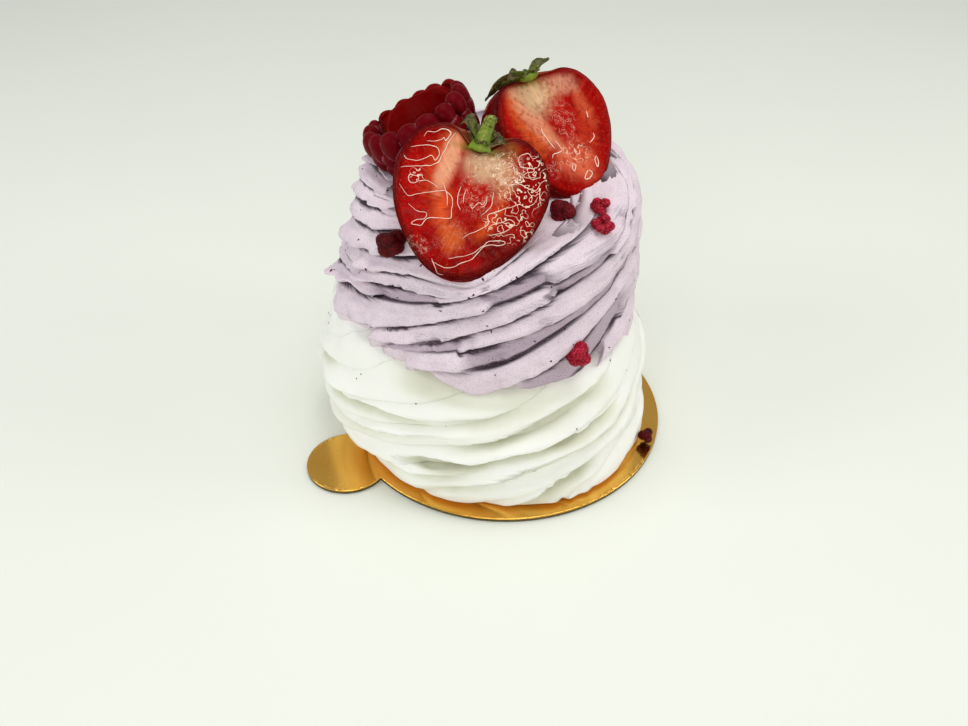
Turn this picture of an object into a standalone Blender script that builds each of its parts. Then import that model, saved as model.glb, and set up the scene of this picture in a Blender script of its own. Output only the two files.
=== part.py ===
"""Single-portion pavlova: a piped meringue on its gold card, a lilac cream swirl and fruit on top.

The frame has +Z up, its origin at the centre of the round card's underside, and the side that is
meant to be looked at towards -Y.  Sizes below are in millimetres, and become metres when a mesh is
made.  Heights of the piping count from the card's top face.
"""

import math

import bmesh
import bpy
import numpy as np

MM = 0.001
GAP = 0.3  # clearance between pieces that touch
SHARP_ANGLE = math.radians(50.0)

# Gold card: a disc with a round lifting tab
CARD_RADIUS = 40.0
CARD_THICKNESS = 1.2
CARD_BEVEL = 0.2
CARD_POINTS = 64
TAB_RADIUS = 10.1
TAB_POINTS = 16
TAB_DISTANCE = 43.7  # from the disc's centre to the tab's
TAB_ANGLE = math.radians(-151.4)

# Piping: a star nozzle leaves ridges that climb as they go round
TURN_TILT = 2.6  # the turns lie higher at the front by this much
LEAN = ((0.0, -0.4, -1.2), (8.0, -5.2, 2.4), (25.0, -5.0, 3.4), (38.0, -5.0, 3.4),
        (42.0, -3.7, 4.4), (62.0, -2.0, 4.9))  # height, then the centre line's x and y
SHOULDER_TILT = 5.5  # the meringue's shoulder lies this much lower towards its front right
SHOULDER_LOW = math.radians(-30.0)
SHOULDER_FROM = 8.0
SHOULDER_TO = 26.0
SWELL_ONCE = (0.14, 2.4)  # how much each ridge swells once round, and the step from ridge to ridge
SWELL_TWICE = (0.08, 4.1)  # the same for a swelling that comes twice round
WINDING_STEPS = 30  # enough for the tilted turns to settle

# Meringue: height, radius on the crests, and share of the full ridge depth
MERINGUE_WIDTHS = (29.8, 28.4, 40.8, 27.0, 32.0, 26.0, 31.0, 29.0, 33.0, 25.0, 30.0, 28.0)
MERINGUE_PHASE = 142.6
MERINGUE_LEAD = 76.0  # height gained in one turn
MERINGUE_DEPTH = 2.6
MERINGUE_UNEVEN = 0.1
MERINGUE_NODES = ((0.0, 0.0), (0.12, 0.42), (0.3, 0.78), (0.52, 0.97), (0.72, 1.0), (0.9, 0.62))
MERINGUE_ROWS = (
    (0.0, 35.4, 0.8),
    (1.6, 37.2, 1.0),
    (4.6, 39.2, 1.0),
    (8.5, 40.4, 1.0),
    (13.0, 40.8, 1.0),
    (17.5, 40.6, 1.0),
    (22.0, 40.1, 0.9),
    (26.6, 39.2, 0.6),
    (30.4, 38.0, 0.25),
    (32.8, 36.4, 0.0),
    (34.6, 33.4, 0.0),
    (36.0, 27.6, 0.0),
    (37.0, 19.0, 0.0),
    (37.5, 10.0, 0.0),
)
MERINGUE_TOP = 37.7
SMOOTH_ROW = 9  # the first row without ridges, where the cream can rest

# Cream: the same, from the first row above its lower edge up to the rim and into the hollow
CREAM_WIDTHS = (24.6, 23.4, 32.2, 31.6, 39.3, 29.5, 24.0, 27.0, 23.0, 28.0, 25.0, 29.0, 23.4)
CREAM_PHASE = -49.1
CREAM_LEAD = 66.0
CREAM_DEPTH = 4.8
CREAM_UNEVEN = 0.3
CREAM_NODES = ((0.0, 0.0), (0.1, 0.42), (0.34, 0.74), (0.64, 1.0), (0.88, 0.66))
CREAM_ROWS = (
    (31.4, 36.4, 0.65),
    (34.0, 36.8, 0.95),
    (37.2, 36.7, 1.0),
    (40.4, 36.2, 1.0),
    (43.4, 35.6, 1.0),
    (46.6, 35.1, 1.0),
    (50.0, 34.7, 1.0),
    (53.4, 34.3, 1.0),
    (56.8, 34.0, 1.0),
    (60.0, 33.3, 1.0),
    (62.8, 31.8, 1.0),
    (64.8, 29.3, 0.9),
    (65.2, 26.2, 0.75),
    (64.4, 22.4, 0.5),
    (63.4, 16.0, 0.3),
    (63.0, 8.0, 0.1),
)
CREAM_TOP = 62.9
RIM_RADIUS = 31.0
CREAM_EDGE = (33.2, 35.2)  # radius of the lower edge, in a groove and on a crest
RIM_TILT = 6.2  # the rim lies this much lower at the front and higher at the back
RIM_DIP = 3.4  # less this much in the middle of the back
RIM_FROM = 44.0
RIM_TO = 61.5
SHOULDER_FELT_TO = 50.0  # the lower rows follow the uneven shoulder up to this height
POCKETS_FROM = 26.0  # pieces whose middle is above this height are let into the cream

# Strawberries cut in half: tip, calyx end, the way the cut face looks, its width, its thickness, how
# far the back leans to the left, and how the outline ends round the calyx.  Outlines are distances from the tip and half widths, as
# shares; the last distance is that of the dimple's middle.
BERRY_PROFILE = ((0.012, 0.16), (0.054, 0.36), (0.12, 0.52), (0.2, 0.66), (0.31, 0.81), (0.43, 0.92),
                 (0.55, 0.98), (0.66, 1.0), (0.77, 0.955), (0.87, 0.86), (0.95, 0.72), (1.0, 0.52))
DEEP_DIMPLE = ((0.97, 0.36), (0.885, 0.2), (0.86, 0.0))
FLAT_TOP = ((1.0, 0.33), (1.0, 0.14), (1.0, 0.0))
FRONT_HALF = ((-12.0, -27.4, 58.2), (-5.2, -9.6, 83.2), (0.02, -0.80, 0.57), 33.0, 14.0, 0.0,
              DEEP_DIMPLE)
REAR_HALF = ((18.0, -1.2, 63.6), (6.6, 15.0, 85.0), (0.27, -0.62, 0.74), 28.0, 12.5, 7.5, FLAT_TOP)
BERRY_MIDDLE = 0.5  # the cut face is split into triangles round this point
BERRY_FACETS = 12

# Calyxes: each stands on a hub; every sepal has a direction round it, a length and a rise.
# 0 degrees is to the berry's right and 90 away from its cut face.
FRONT_CALYX = {
    "seat": (1.1, 0.0),  # how far the hub stands off the dimple's middle, and lies to the right
    "hub": 2.7,
    "stalk": (1.7, 6.6),  # radius and length
    "sepals": ((-6.0, 3.9, 4.0), (46.0, 3.0, 4.4), (98.0, 3.0, 4.2), (150.0, 3.6, 5.2),
               (235.0, 1.2, 0.2), (305.0, 1.4, 0.2)),
}
REAR_CALYX = {
    "seat": (0.45, -2.2),
    "hub": 2.3,
    "stalk": (1.0, 1.8),
    "sepals": ((-6.0, 3.7, 1.8), (44.0, 2.0, 1.6), (92.0, 3.0, 1.2), (150.0, 6.6, 0.6),
               (196.0, 3.4, 1.2), (290.0, 1.0, 0.2)),
}
CALYX_THICKNESS = 0.5
CALYX_RINGS = ((0.55, 0.0), (1.0, 0.3), (0.55, 1.0))  # shares of the reach and of the thickness
SEPAL_SPREAD = 9.0  # degrees from a sepal's middle to its widest point
SEPAL_WAIST = 0.55  # how far along a sepal that point lies
WAIST_RISE = 0.7

# Raspberry: a hollow cup of drupelets
RASPBERRY_RIM = (-21.6, 11.6, 78.6)  # centre of the open end
RASPBERRY_OPENS = (-0.45, 0.065, 0.887)
RASPBERRY_LENGTH = 20.0
RASPBERRY_RADIUS = 13.0
RASPBERRY_PROFILE = ((0.02, 0.2), (0.08, 0.42), (0.18, 0.63), (0.31, 0.79), (0.46, 0.9), (0.62, 0.97),
                     (0.78, 1.0), (0.9, 0.98), (0.975, 0.92), (1.0, 0.84))
RASPBERRY_HOLLOW = ((0.95, 0.68), (0.75, 0.61), (0.5, 0.48))
RASPBERRY_FLOOR = 0.37
DRUPELETS_ROUND = 15
DRUPELET_BUMP = 0.035

# Broken raspberry pieces: centre, half length and how flat each lies
CRUMBS = (
    ("raspberry_piece_left", (-24.8, -16.6, 60.9), 3.5, 0.8),
    ("raspberry_piece_right", (11.9, -7.6, 63.4), 3.1, 1.0),
    ("raspberry_piece_upper", (19.9, -7.8, 64.5), 2.2, 0.85),
    ("raspberry_piece_lower", (20.2, -12.9, 62.9), 2.5, 0.75),
    ("raspberry_piece_side", (15.3, -26.3, 38.8), 3.1, 0.85),
    ("raspberry_piece_on_card", (35.0, -14.1, 3.6), 2.0, 0.85),
)
CRUMB_LUMPS = 0.12
CRUMB_LUMP_COUNT = 3.0

COLOURS = {"gold": (0.56, 0.32, 0.07), "meringue": (0.90, 0.90, 0.85), "cream": (0.66, 0.58, 0.64),
           "strawberry": (0.42, 0.02, 0.015), "raspberry": (0.16, 0.005, 0.01),
           "leaf": (0.12, 0.16, 0.03)}


def make_material(name, roughness, metallic=0.0):
    """A Principled material in one of the food's colours."""
    made = bpy.data.materials.new(name)
    made.use_nodes = True
    shader = made.node_tree.nodes["Principled BSDF"]
    shader.inputs["Base Color"].default_value = (*COLOURS[name], 1.0)
    shader.inputs["Roughness"].default_value = roughness
    shader.inputs["Metallic"].default_value = metallic
    made.diffuse_color = (*COLOURS[name], 1.0)
    return made


def unit(vector):
    vector = np.asarray(vector, dtype=float)
    return vector / np.linalg.norm(vector)


def add_mesh(name, points, faces, finish, grow=0.0):
    """An object from points in millimetres; `grow` moves its surface outwards."""
    mesh = bpy.data.meshes.new(name)
    mesh.from_pydata([tuple(point * MM) for point in points], [], faces)
    shape = bmesh.new()
    shape.from_mesh(mesh)
    bmesh.ops.recalc_face_normals(shape, faces=shape.faces)
    shape.normal_update()
    for vertex in shape.verts:
        vertex.co += vertex.normal * grow * MM
    shape.to_mesh(mesh)
    shape.free()
    mesh.shade_smooth()
    mesh.set_sharp_from_angle(angle=SHARP_ANGLE)
    mesh.materials.append(finish)
    made = bpy.data.objects.new(name, mesh)
    bpy.context.collection.objects.link(made)
    return made


def grid_faces(points, rows, columns, closed):
    """Triangles between rings of points, each four-sided face split along its shorter diagonal."""
    faces = []
    for row in range(rows - 1):
        for column in range(columns if closed else columns - 1):
            a = row * columns + column
            b = row * columns + (column + 1) % columns
            c = b + columns
            d = a + columns
            across = np.linalg.norm(points[a] - points[c]) <= np.linalg.norm(points[b] - points[d])
            faces += [(a, b, c), (a, c, d)] if across else [(a, b, d), (b, c, d)]
    return faces


def fan_faces(centre, loop):
    """Triangles from one point to each step along a loop of points."""
    return [(centre, here, following) for here, following in zip(loop, loop[1:])]


def add_solid(name, rings, start, end, finish, grow=0.0):
    """A closed solid from closed rings of points, each end closed by a fan round one point."""
    rings = np.asarray(rings, dtype=float)
    rows, columns = rings.shape[:2]
    points = np.concatenate((rings.reshape(-1, 3), [start, end]))
    first = list(range(columns)) + [0]
    last = [(rows - 1) * columns + column for column in first]
    faces = grid_faces(points, rows, columns, True)
    faces += fan_faces(rows * columns, first) + fan_faces(rows * columns + 1, last)
    return add_mesh(name, points, faces, finish, grow)


def make_cutter(piece_maker, *details):
    """A slightly larger copy of a piece, for the pocket that it sits in."""
    cutter = piece_maker(*details, grow=GAP)
    cutter.name = "cutter_" + cutter.name
    cutter.hide_render = True
    cutter.display_type = "WIRE"
    return cutter


def build_card(finish):
    """The disc and its tab: two arcs that meet in sharp notches, raised to the card's thickness."""
    tab_x = TAB_DISTANCE * math.cos(TAB_ANGLE)
    tab_y = TAB_DISTANCE * math.sin(TAB_ANGLE)
    # Where the two circles cross, as seen from each centre
    along = (TAB_DISTANCE ** 2 + CARD_RADIUS ** 2 - TAB_RADIUS ** 2) / (2 * TAB_DISTANCE)
    disc_half = math.acos(along / CARD_RADIUS)
    tab_half = math.acos((TAB_DISTANCE - along) / TAB_RADIUS)
    outline = []
    for angle in np.linspace(TAB_ANGLE + disc_half, TAB_ANGLE + 2 * math.pi - disc_half, CARD_POINTS):
        outline.append((CARD_RADIUS * math.cos(angle), CARD_RADIUS * math.sin(angle)))
    turn = math.pi - tab_half
    for angle in np.linspace(TAB_ANGLE - turn, TAB_ANGLE + turn, TAB_POINTS)[1:-1]:
        outline.append((tab_x + TAB_RADIUS * math.cos(angle), tab_y + TAB_RADIUS * math.sin(angle)))
    shape = bmesh.new()
    base = shape.faces.new([shape.verts.new((x * MM, y * MM, 0.0)) for x, y in outline])
    raised = bmesh.ops.extrude_face_region(shape, geom=[base])
    for item in raised["geom"]:
        if isinstance(item, bmesh.types.BMVert):
            item.co.z = CARD_THICKNESS * MM
    bmesh.ops.recalc_face_normals(shape, faces=shape.faces)
    mesh = bpy.data.meshes.new("card")
    shape.to_mesh(mesh)
    shape.free()
    mesh.materials.append(finish)
    card = bpy.data.objects.new("card", mesh)
    bpy.context.collection.objects.link(card)
    edge = card.modifiers.new("Edge", "BEVEL")
    edge.width = CARD_BEVEL * MM
    edge.segments = 1
    edge.limit_method = "ANGLE"
    edge.angle_limit = math.radians(50.0)
    return card


def centre_line(height):
    """The piping's centre at a height above the card."""
    heights, xs, ys = zip(*LEAN)
    return np.interp(height, heights, xs), np.interp(height, heights, ys)


def ridge_columns(widths, nodes, phase):
    """For each column of a star section: its angle, its share of the ridge, and its ridge's number."""
    edges = np.concatenate(([0.0], np.cumsum(widths))) / np.sum(widths) * 2 * math.pi
    shares, heights = np.transpose(nodes)
    angles = edges[:-1, None] + shares * np.diff(edges)[:, None]
    numbers = np.repeat(np.arange(len(widths)), len(nodes))
    return angles.ravel() + math.radians(phase), np.tile(heights, len(widths)), numbers


def wound_angles(start_angles, height, lead):
    """Angle of each column at one row, on slightly tilted turns."""
    angles = start_angles.copy()
    for _ in range(WINDING_STEPS):
        turned = start_angles + 2 * math.pi * (height + TURN_TILT * np.sin(angles)) / lead
        angles = (angles + turned) / 2
    return angles


def shoulder_sink(height, angles):
    """How far the meringue's uneven shoulder sinks at a height."""
    share = np.clip((height - SHOULDER_FROM) / (SHOULDER_TO - SHOULDER_FROM), 0.0, 1.0)
    return share * SHOULDER_TILT * (1 + np.cos(angles - SHOULDER_LOW)) / 2


def ridge_depth(numbers, angles, uneven):
    """Each ridge swells and thins on its way round; on the left every other one stands out."""
    alternate = np.where(numbers % 2 == 0, 1.0, -1.0) * (1 - np.cos(angles)) / 2
    once, twice = SWELL_ONCE, SWELL_TWICE
    return (1.0 + uneven * alternate + once[0] * np.sin(once[1] * numbers + angles)
            + twice[0] * np.sin(twice[1] * numbers + 2 * angles))


def placed_ring(angles, radius, height, centre_height):
    """Points of one ring round the leaning centre line, from the card's top face up."""
    x, y = centre_line(centre_height)
    z = CARD_THICKNESS + height + np.zeros_like(angles)
    return np.stack((x + radius * np.cos(angles), y + radius * np.sin(angles), z), axis=-1)


def meringue_ring(row, columns):
    height, radius, share = row
    start_angles, swell, numbers = columns
    angles = wound_angles(start_angles, height, MERINGUE_LEAD)
    depth = MERINGUE_DEPTH * share * ridge_depth(numbers, angles, MERINGUE_UNEVEN)
    level = GAP + height - shoulder_sink(height, angles)
    return placed_ring(angles, radius - depth * (1 - swell), level, height)


def build_meringue(finish):
    """The base: wide soft ridges, undercut at the card, with a smooth shoulder under the cream."""
    columns = ridge_columns(MERINGUE_WIDTHS, MERINGUE_NODES, MERINGUE_PHASE)
    rings = [meringue_ring(row, columns) for row in MERINGUE_ROWS]
    foot = np.mean(rings[0], axis=0)
    top_x, top_y = centre_line(MERINGUE_TOP)
    top = (top_x, top_y, CARD_THICKNESS + GAP + MERINGUE_TOP - SHOULDER_TILT / 2)
    return add_solid("meringue", rings, foot, top, finish)


def shoulder_height(radius, angles):
    """Height of the meringue's shoulder at a distance from the centre line."""
    heights, radii, _ = zip(*reversed(MERINGUE_ROWS[SMOOTH_ROW:]))
    level = np.interp(radius, radii, heights)
    return GAP + level - SHOULDER_TILT * (1 + np.cos(angles - SHOULDER_LOW)) / 2


def cream_level(height, radius, angles):
    """Height of a row: low rows follow the shoulder, high ones the tilted rim."""
    low_share = np.clip((SHOULDER_FELT_TO - height) / (SHOULDER_FELT_TO - CREAM_ROWS[0][0]), 0.0, 1.0)
    rim_share = np.clip((height - RIM_FROM) / (RIM_TO - RIM_FROM), 0.0, 1.0)
    rim_share *= min(1.0, radius / RIM_RADIUS)
    lift = SHOULDER_TILT * (1 - np.cos(angles - SHOULDER_LOW)) / 2
    tilt = RIM_TILT * np.sin(angles) - RIM_DIP * np.maximum(0.0, np.sin(angles)) ** 2
    return height + low_share * lift + rim_share * tilt


def build_cream(finish):
    """The swirl: deep ruffled ridges that end on the meringue as petals, with a hollow top."""
    columns = ridge_columns(CREAM_WIDTHS, CREAM_NODES, CREAM_PHASE)
    start_angles, swell, numbers = columns
    edge_level = MERINGUE_ROWS[SMOOTH_ROW][0]
    edge_angles = wound_angles(start_angles, edge_level, CREAM_LEAD)
    seat_radii = [radius for _, radius, _ in reversed(MERINGUE_ROWS[SMOOTH_ROW + 1:])]
    seat_radii.append(CREAM_EDGE[0] + (CREAM_EDGE[1] - CREAM_EDGE[0]) * swell)
    rings = []
    for radius in seat_radii:
        level = GAP + shoulder_height(radius, edge_angles)
        rings.append(placed_ring(edge_angles, radius, level, edge_level))
    for height, radius, share in CREAM_ROWS:
        angles = wound_angles(start_angles, height, CREAM_LEAD)
        depth = CREAM_DEPTH * share * ridge_depth(numbers, angles, CREAM_UNEVEN)
        level = cream_level(height, radius, angles)
        rings.append(placed_ring(angles, radius - depth * (1 - swell), level, height))
    underside_x, underside_y = centre_line(edge_level)
    underside_z = CARD_THICKNESS + 2 * GAP + MERINGUE_TOP - SHOULDER_TILT / 2
    top_x, top_y = centre_line(CREAM_TOP)
    return add_solid("cream", rings, (underside_x, underside_y, underside_z),
                     (top_x, top_y, CARD_THICKNESS + CREAM_TOP), finish)


def berry_axes(tip, top, face):
    """Length and unit vectors of a cut berry: along it, out of its cut face, and to its right."""
    along = np.subtract(top, tip)
    length = np.linalg.norm(along)
    along = along / length
    outward = np.asarray(face, dtype=float)
    outward = unit(outward - along * np.dot(outward, along))
    return length, along, outward, np.cross(along, outward)


def build_half_berry(name, tip, top, face, width, thickness, lean, crown, finish, grow=0.0):
    """Half a strawberry: a flat cut face and a rounded back."""
    length, along, outward, right = berry_axes(tip, top, face)
    rings = []
    for distance, share in BERRY_PROFILE + crown[:-1]:
        ring = []
        for angle in np.linspace(0.0, math.pi, BERRY_FACETS):
            ring.append(tip + along * length * distance
                        + right * math.cos(angle) * share * width / 2
                        - right * math.sin(angle) * share * lean
                        - outward * math.sin(angle) * share * thickness)
        rings.append(ring)
    rows, columns = len(rings), BERRY_FACETS
    dimple = tip + along * length * crown[-1][0]
    middle = tip + along * length * BERRY_MIDDLE
    points = np.concatenate((np.reshape(rings, (-1, 3)), [tip, dimple, middle]))
    tip_index, dimple_index, middle_index = range(rows * columns, rows * columns + 3)
    starts = [row * columns for row in range(rows)]
    ends = [start + columns - 1 for start in starts]
    faces = grid_faces(points, rows, columns, False)
    faces += fan_faces(tip_index, list(range(columns)))
    faces += fan_faces(dimple_index, list(range(starts[-1], rows * columns)))
    faces += fan_faces(middle_index, [tip_index] + starts + [dimple_index] + ends[::-1] + [tip_index])
    return add_mesh(name, points, faces, finish, grow)


def around(degrees, right, outward):
    """A direction across the berry: 0 degrees is to its right and 90 away from the cut face."""
    angle = math.radians(degrees)
    return right * math.cos(angle) - outward * math.sin(angle)


def build_calyx(name, berry, calyx, finish):
    """A star of sepals and a stalk on the end of a berry, closed all round."""
    tip, top, face = berry[:3]
    crown = berry[-1]
    length, along, outward, right = berry_axes(tip, top, face)
    off, aside = calyx["seat"]
    seat = tip + along * (length * crown[-1][0] + off) + right * aside
    sepals, hub = calyx["sepals"], calyx["hub"]
    columns = []
    for number, (direction, reach, rise) in enumerate(sepals):
        following = sepals[(number + 1) % len(sepals)][0] % 360.0
        valley = direction + ((following - direction) % 360.0) / 2
        waist = hub + SEPAL_WAIST * reach
        columns.append((direction - SEPAL_SPREAD, waist, WAIST_RISE * rise))
        columns.append((direction, hub + reach, rise))
        columns.append((direction + SEPAL_SPREAD, waist, WAIST_RISE * rise))
        columns.append((valley, hub, 0.0))
    rings = []
    for share, lift in CALYX_RINGS:
        ring = []
        for direction, reach, rise in columns:
            sideways = around(direction, right, outward)
            ring.append(seat + sideways * reach * share
                        + along * (rise * share ** 2 + lift * CALYX_THICKNESS))
        rings.append(ring)
    stalk_radius, stalk_length = calyx["stalk"]
    for lift in (2 * CALYX_THICKNESS, stalk_length):
        rings.append([seat + around(direction, right, outward) * stalk_radius + along * lift
                      for direction, _, _ in columns])
    return add_solid(name, rings, seat, seat + along * stalk_length, finish)


def raspberry_rings(profile, bumps):
    """Rings of a raspberry's surface, with one bump for each drupelet in turn."""
    opens = unit(RASPBERRY_OPENS)
    sideways = unit(np.cross(opens, (0.0, 1.0, 0.0)))
    across = np.cross(opens, sideways)
    tip = RASPBERRY_RIM - opens * RASPBERRY_LENGTH
    angles = np.arange(2 * DRUPELETS_ROUND) * math.pi / DRUPELETS_ROUND
    rings = []
    for number, (distance, share) in enumerate(profile):
        bump = 1.0 + bumps * np.cos(DRUPELETS_ROUND * angles + math.pi * (number // 2))
        radius = (RASPBERRY_RADIUS * share * bump)[:, None]
        circle = np.cos(angles)[:, None] * sideways + np.sin(angles)[:, None] * across
        rings.append(tip + opens * RASPBERRY_LENGTH * distance + radius * circle)
    return rings, tip, opens


def build_raspberry(name, finish):
    outside, tip, opens = raspberry_rings(RASPBERRY_PROFILE, DRUPELET_BUMP)
    inside = raspberry_rings(RASPBERRY_HOLLOW, 0.0)[0]
    floor = tip + opens * RASPBERRY_LENGTH * RASPBERRY_FLOOR
    return add_solid(name, outside + inside, tip, floor, finish)


def build_raspberry_hull(name, finish, grow=0.0):
    """The raspberry's outer shape without its hollow, for the pocket that it sits in."""
    outside, tip, opens = raspberry_rings(RASPBERRY_PROFILE, DRUPELET_BUMP)
    return add_solid(name, outside, tip, tip + opens * RASPBERRY_LENGTH, finish, grow)


def build_crumb(name, centre, half_length, flatness, finish, grow=0.0):
    """A broken piece of raspberry: a lumpy ball."""
    shape = bmesh.new()
    bmesh.ops.create_icosphere(shape, subdivisions=2, radius=1.0)
    for vertex in shape.verts:
        x, y, z = vertex.co
        lump = math.sin(CRUMB_LUMP_COUNT * x + centre[0]) * math.sin(CRUMB_LUMP_COUNT * y + centre[1])
        lump += math.cos(CRUMB_LUMP_COUNT * z + centre[2])
        size = (half_length * (1.0 + CRUMB_LUMPS * lump) + grow) * MM
        vertex.co = (centre[0] * MM + x * size, centre[1] * MM + y * size,
                     centre[2] * MM + z * size * flatness)
    mesh = bpy.data.meshes.new(name)
    shape.to_mesh(mesh)
    shape.free()
    mesh.shade_smooth()
    mesh.materials.append(finish)
    made = bpy.data.objects.new(name, mesh)
    bpy.context.collection.objects.link(made)
    return made


def cut_pockets(body, cutters):
    for cutter in cutters:
        pocket = body.modifiers.new("Pocket", "BOOLEAN")
        pocket.operation = "DIFFERENCE"
        pocket.solver = "EXACT"
        pocket.object = cutter


def build():
    for thing in list(bpy.data.objects):
        bpy.data.objects.remove(thing, do_unlink=True)
    gold = make_material("gold", 0.25, 1.0)
    white = make_material("meringue", 0.55)
    lilac = make_material("cream", 0.6)
    red = make_material("strawberry", 0.2)
    dark_red = make_material("raspberry", 0.35)
    green = make_material("leaf", 0.5)

    build_card(gold)
    build_meringue(white)
    cream = build_cream(lilac)
    cutters = []
    for name, berry, calyx in (("strawberry_front", FRONT_HALF, FRONT_CALYX),
                               ("strawberry_rear", REAR_HALF, REAR_CALYX)):
        build_half_berry(name, *berry, red)
        cutters.append(make_cutter(build_half_berry, name, *berry, red))
        build_calyx(name.replace("strawberry", "calyx"), berry, calyx, green)
    build_raspberry("raspberry", dark_red)
    cutters.append(make_cutter(build_raspberry_hull, "raspberry", dark_red))
    for crumb in CRUMBS:
        build_crumb(*crumb, dark_red)
        if crumb[1][2] > POCKETS_FROM:
            cutters.append(make_cutter(build_crumb, *crumb, dark_red))
    cut_pockets(cream, cutters)


build()
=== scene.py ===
# Single-portion pavlova: gold card, piped meringue, lilac cream swirl, cut strawberries, a hollow
# raspberry and its broken pieces. Sizes are in millimetres until a mesh is made; +Z is up and the
# front looks towards -Y.

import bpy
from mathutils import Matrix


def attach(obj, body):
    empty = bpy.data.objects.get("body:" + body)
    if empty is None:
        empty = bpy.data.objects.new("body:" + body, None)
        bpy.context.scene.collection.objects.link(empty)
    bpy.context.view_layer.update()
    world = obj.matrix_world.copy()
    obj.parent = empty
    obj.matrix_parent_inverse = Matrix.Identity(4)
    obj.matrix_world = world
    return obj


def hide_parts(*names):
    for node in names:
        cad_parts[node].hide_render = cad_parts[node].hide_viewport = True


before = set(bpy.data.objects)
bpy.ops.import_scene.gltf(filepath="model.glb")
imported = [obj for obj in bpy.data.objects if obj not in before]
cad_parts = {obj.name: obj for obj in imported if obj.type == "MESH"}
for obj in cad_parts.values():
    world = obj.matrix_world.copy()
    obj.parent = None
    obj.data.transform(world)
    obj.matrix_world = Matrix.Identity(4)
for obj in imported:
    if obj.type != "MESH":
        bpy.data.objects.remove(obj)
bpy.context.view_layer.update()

import math

import bmesh
import bpy
import numpy as np
from mathutils import Vector

mm = 0.001
turn = 2 * math.pi
cardThickness = 1.2
gap = 0.3  # the meringue stands this far above the card, as its solid does


def unit(vector):
    # a vector divided by its own length, for one vector or an array of them
    vector = np.asarray(vector, dtype=float)
    return vector / np.linalg.norm(vector, axis=-1, keepdims=True)


def smoothStep(low, high, value):
    # rises from 0 at low to 1 at high along 3x^2 - 2x^3
    share = np.clip((value - low) / (high - low), 0.0, 1.0)
    return share * share * (3 - 2 * share)


def mixed(first, second, share):
    # first * (1 - share) + second * share, for colours the share gets one more axis
    first = np.asarray(first, dtype=float)
    second = np.asarray(second, dtype=float)
    if second.ndim and second.shape[-1] == 3 and np.ndim(share) and np.shape(share)[-1] != 3:
        share = np.asarray(share)[..., None]
    return first * (1 - share) + second * share


def stacked(*parts):
    # arrays or single values spread to one shape, then joined along a new last axis
    return np.stack(np.broadcast_arrays(*parts), axis=-1)


def latticeValue(x, y, z, seed):
    # a fixed pseudo-random number from -1 to 1 for each whole-number corner
    mixedBits = (x * 374761393 + y * 668265263 + z * 1103515245 + seed * 1274126177) & 0xffffffff
    mixedBits = ((mixedBits ^ (mixedBits >> 13)) * 1274126177) & 0xffffffff
    mixedBits = ((mixedBits ^ (mixedBits >> 15)) * 668265263) & 0xffffffff
    return ((mixedBits ^ (mixedBits >> 16)) & 0xffff) / 32767.5 - 1.0


def noise(points, size, seed=0):
    # value noise: the eight corners round each point, blended by smooth steps; size is one cell
    places = np.asarray(points, dtype=float) / size
    floors = np.floor(places).astype(np.int64)
    part = places - floors
    part = part * part * (3 - 2 * part)
    total = np.zeros(places.shape[:-1])
    for dx in (0, 1):
        for dy in (0, 1):
            for dz in (0, 1):
                weight = ((part[..., 0] if dx else 1 - part[..., 0])
                          * (part[..., 1] if dy else 1 - part[..., 1])
                          * (part[..., 2] if dz else 1 - part[..., 2]))
                total += weight * latticeValue(floors[..., 0] + dx, floors[..., 1] + dy,
                                               floors[..., 2] + dz, seed)
    return total


def layeredNoise(points, size, layers, seed=0):
    # noise plus half as much at half the size, and so on
    return sum(noise(points, size / 2 ** layer, seed + layer) / 2 ** layer for layer in range(layers))


def smoothPath(nodes, count):
    # a Catmull-Rom curve through the nodes, at count places evenly spread over its length
    nodes = np.asarray(nodes, dtype=float)
    padded = np.concatenate(([2 * nodes[0] - nodes[1]], nodes, [2 * nodes[-1] - nodes[-2]]))
    fine = []
    share = np.linspace(0, 1, 12, endpoint=False)[:, None]
    for a, b, c, d in zip(padded, padded[1:], padded[2:], padded[3:]):
        fine.append(0.5 * (2 * b + (c - a) * share + (2 * a - 5 * b + 4 * c - d) * share ** 2
                           + (3 * b - a - 3 * c + d) * share ** 3))
    fine = np.concatenate(fine + [nodes[-1:]])
    steps = np.concatenate(([0.0], np.cumsum(np.linalg.norm(np.diff(fine, axis=0), axis=1))))
    places = np.linspace(0, steps[-1], count)
    return np.stack([np.interp(places, steps, column) for column in fine.T], axis=-1)


def gridFaces(rows, columns, wrap, first=0):
    # four-sided faces between neighbouring points of a grid, closed round its columns when wrapped
    index = first + np.arange(rows * columns).reshape(rows, columns)
    if wrap:
        index = np.concatenate((index, index[:, :1]), axis=1)
    return np.stack((index[:-1, :-1], index[:-1, 1:], index[1:, 1:], index[1:, :-1]), axis=-1).reshape(-1, 4)


def surfaceNormals(grid, wrap):
    # cross product of the steps along the rows and the columns
    if wrap:
        around = np.roll(grid, -1, axis=1) - np.roll(grid, 1, axis=1)
    else:
        around = np.gradient(grid, axis=1)
    normals = np.cross(around, np.gradient(grid, axis=0))
    return normals / np.maximum(np.linalg.norm(normals, axis=-1, keepdims=True), 1e-9)


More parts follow.
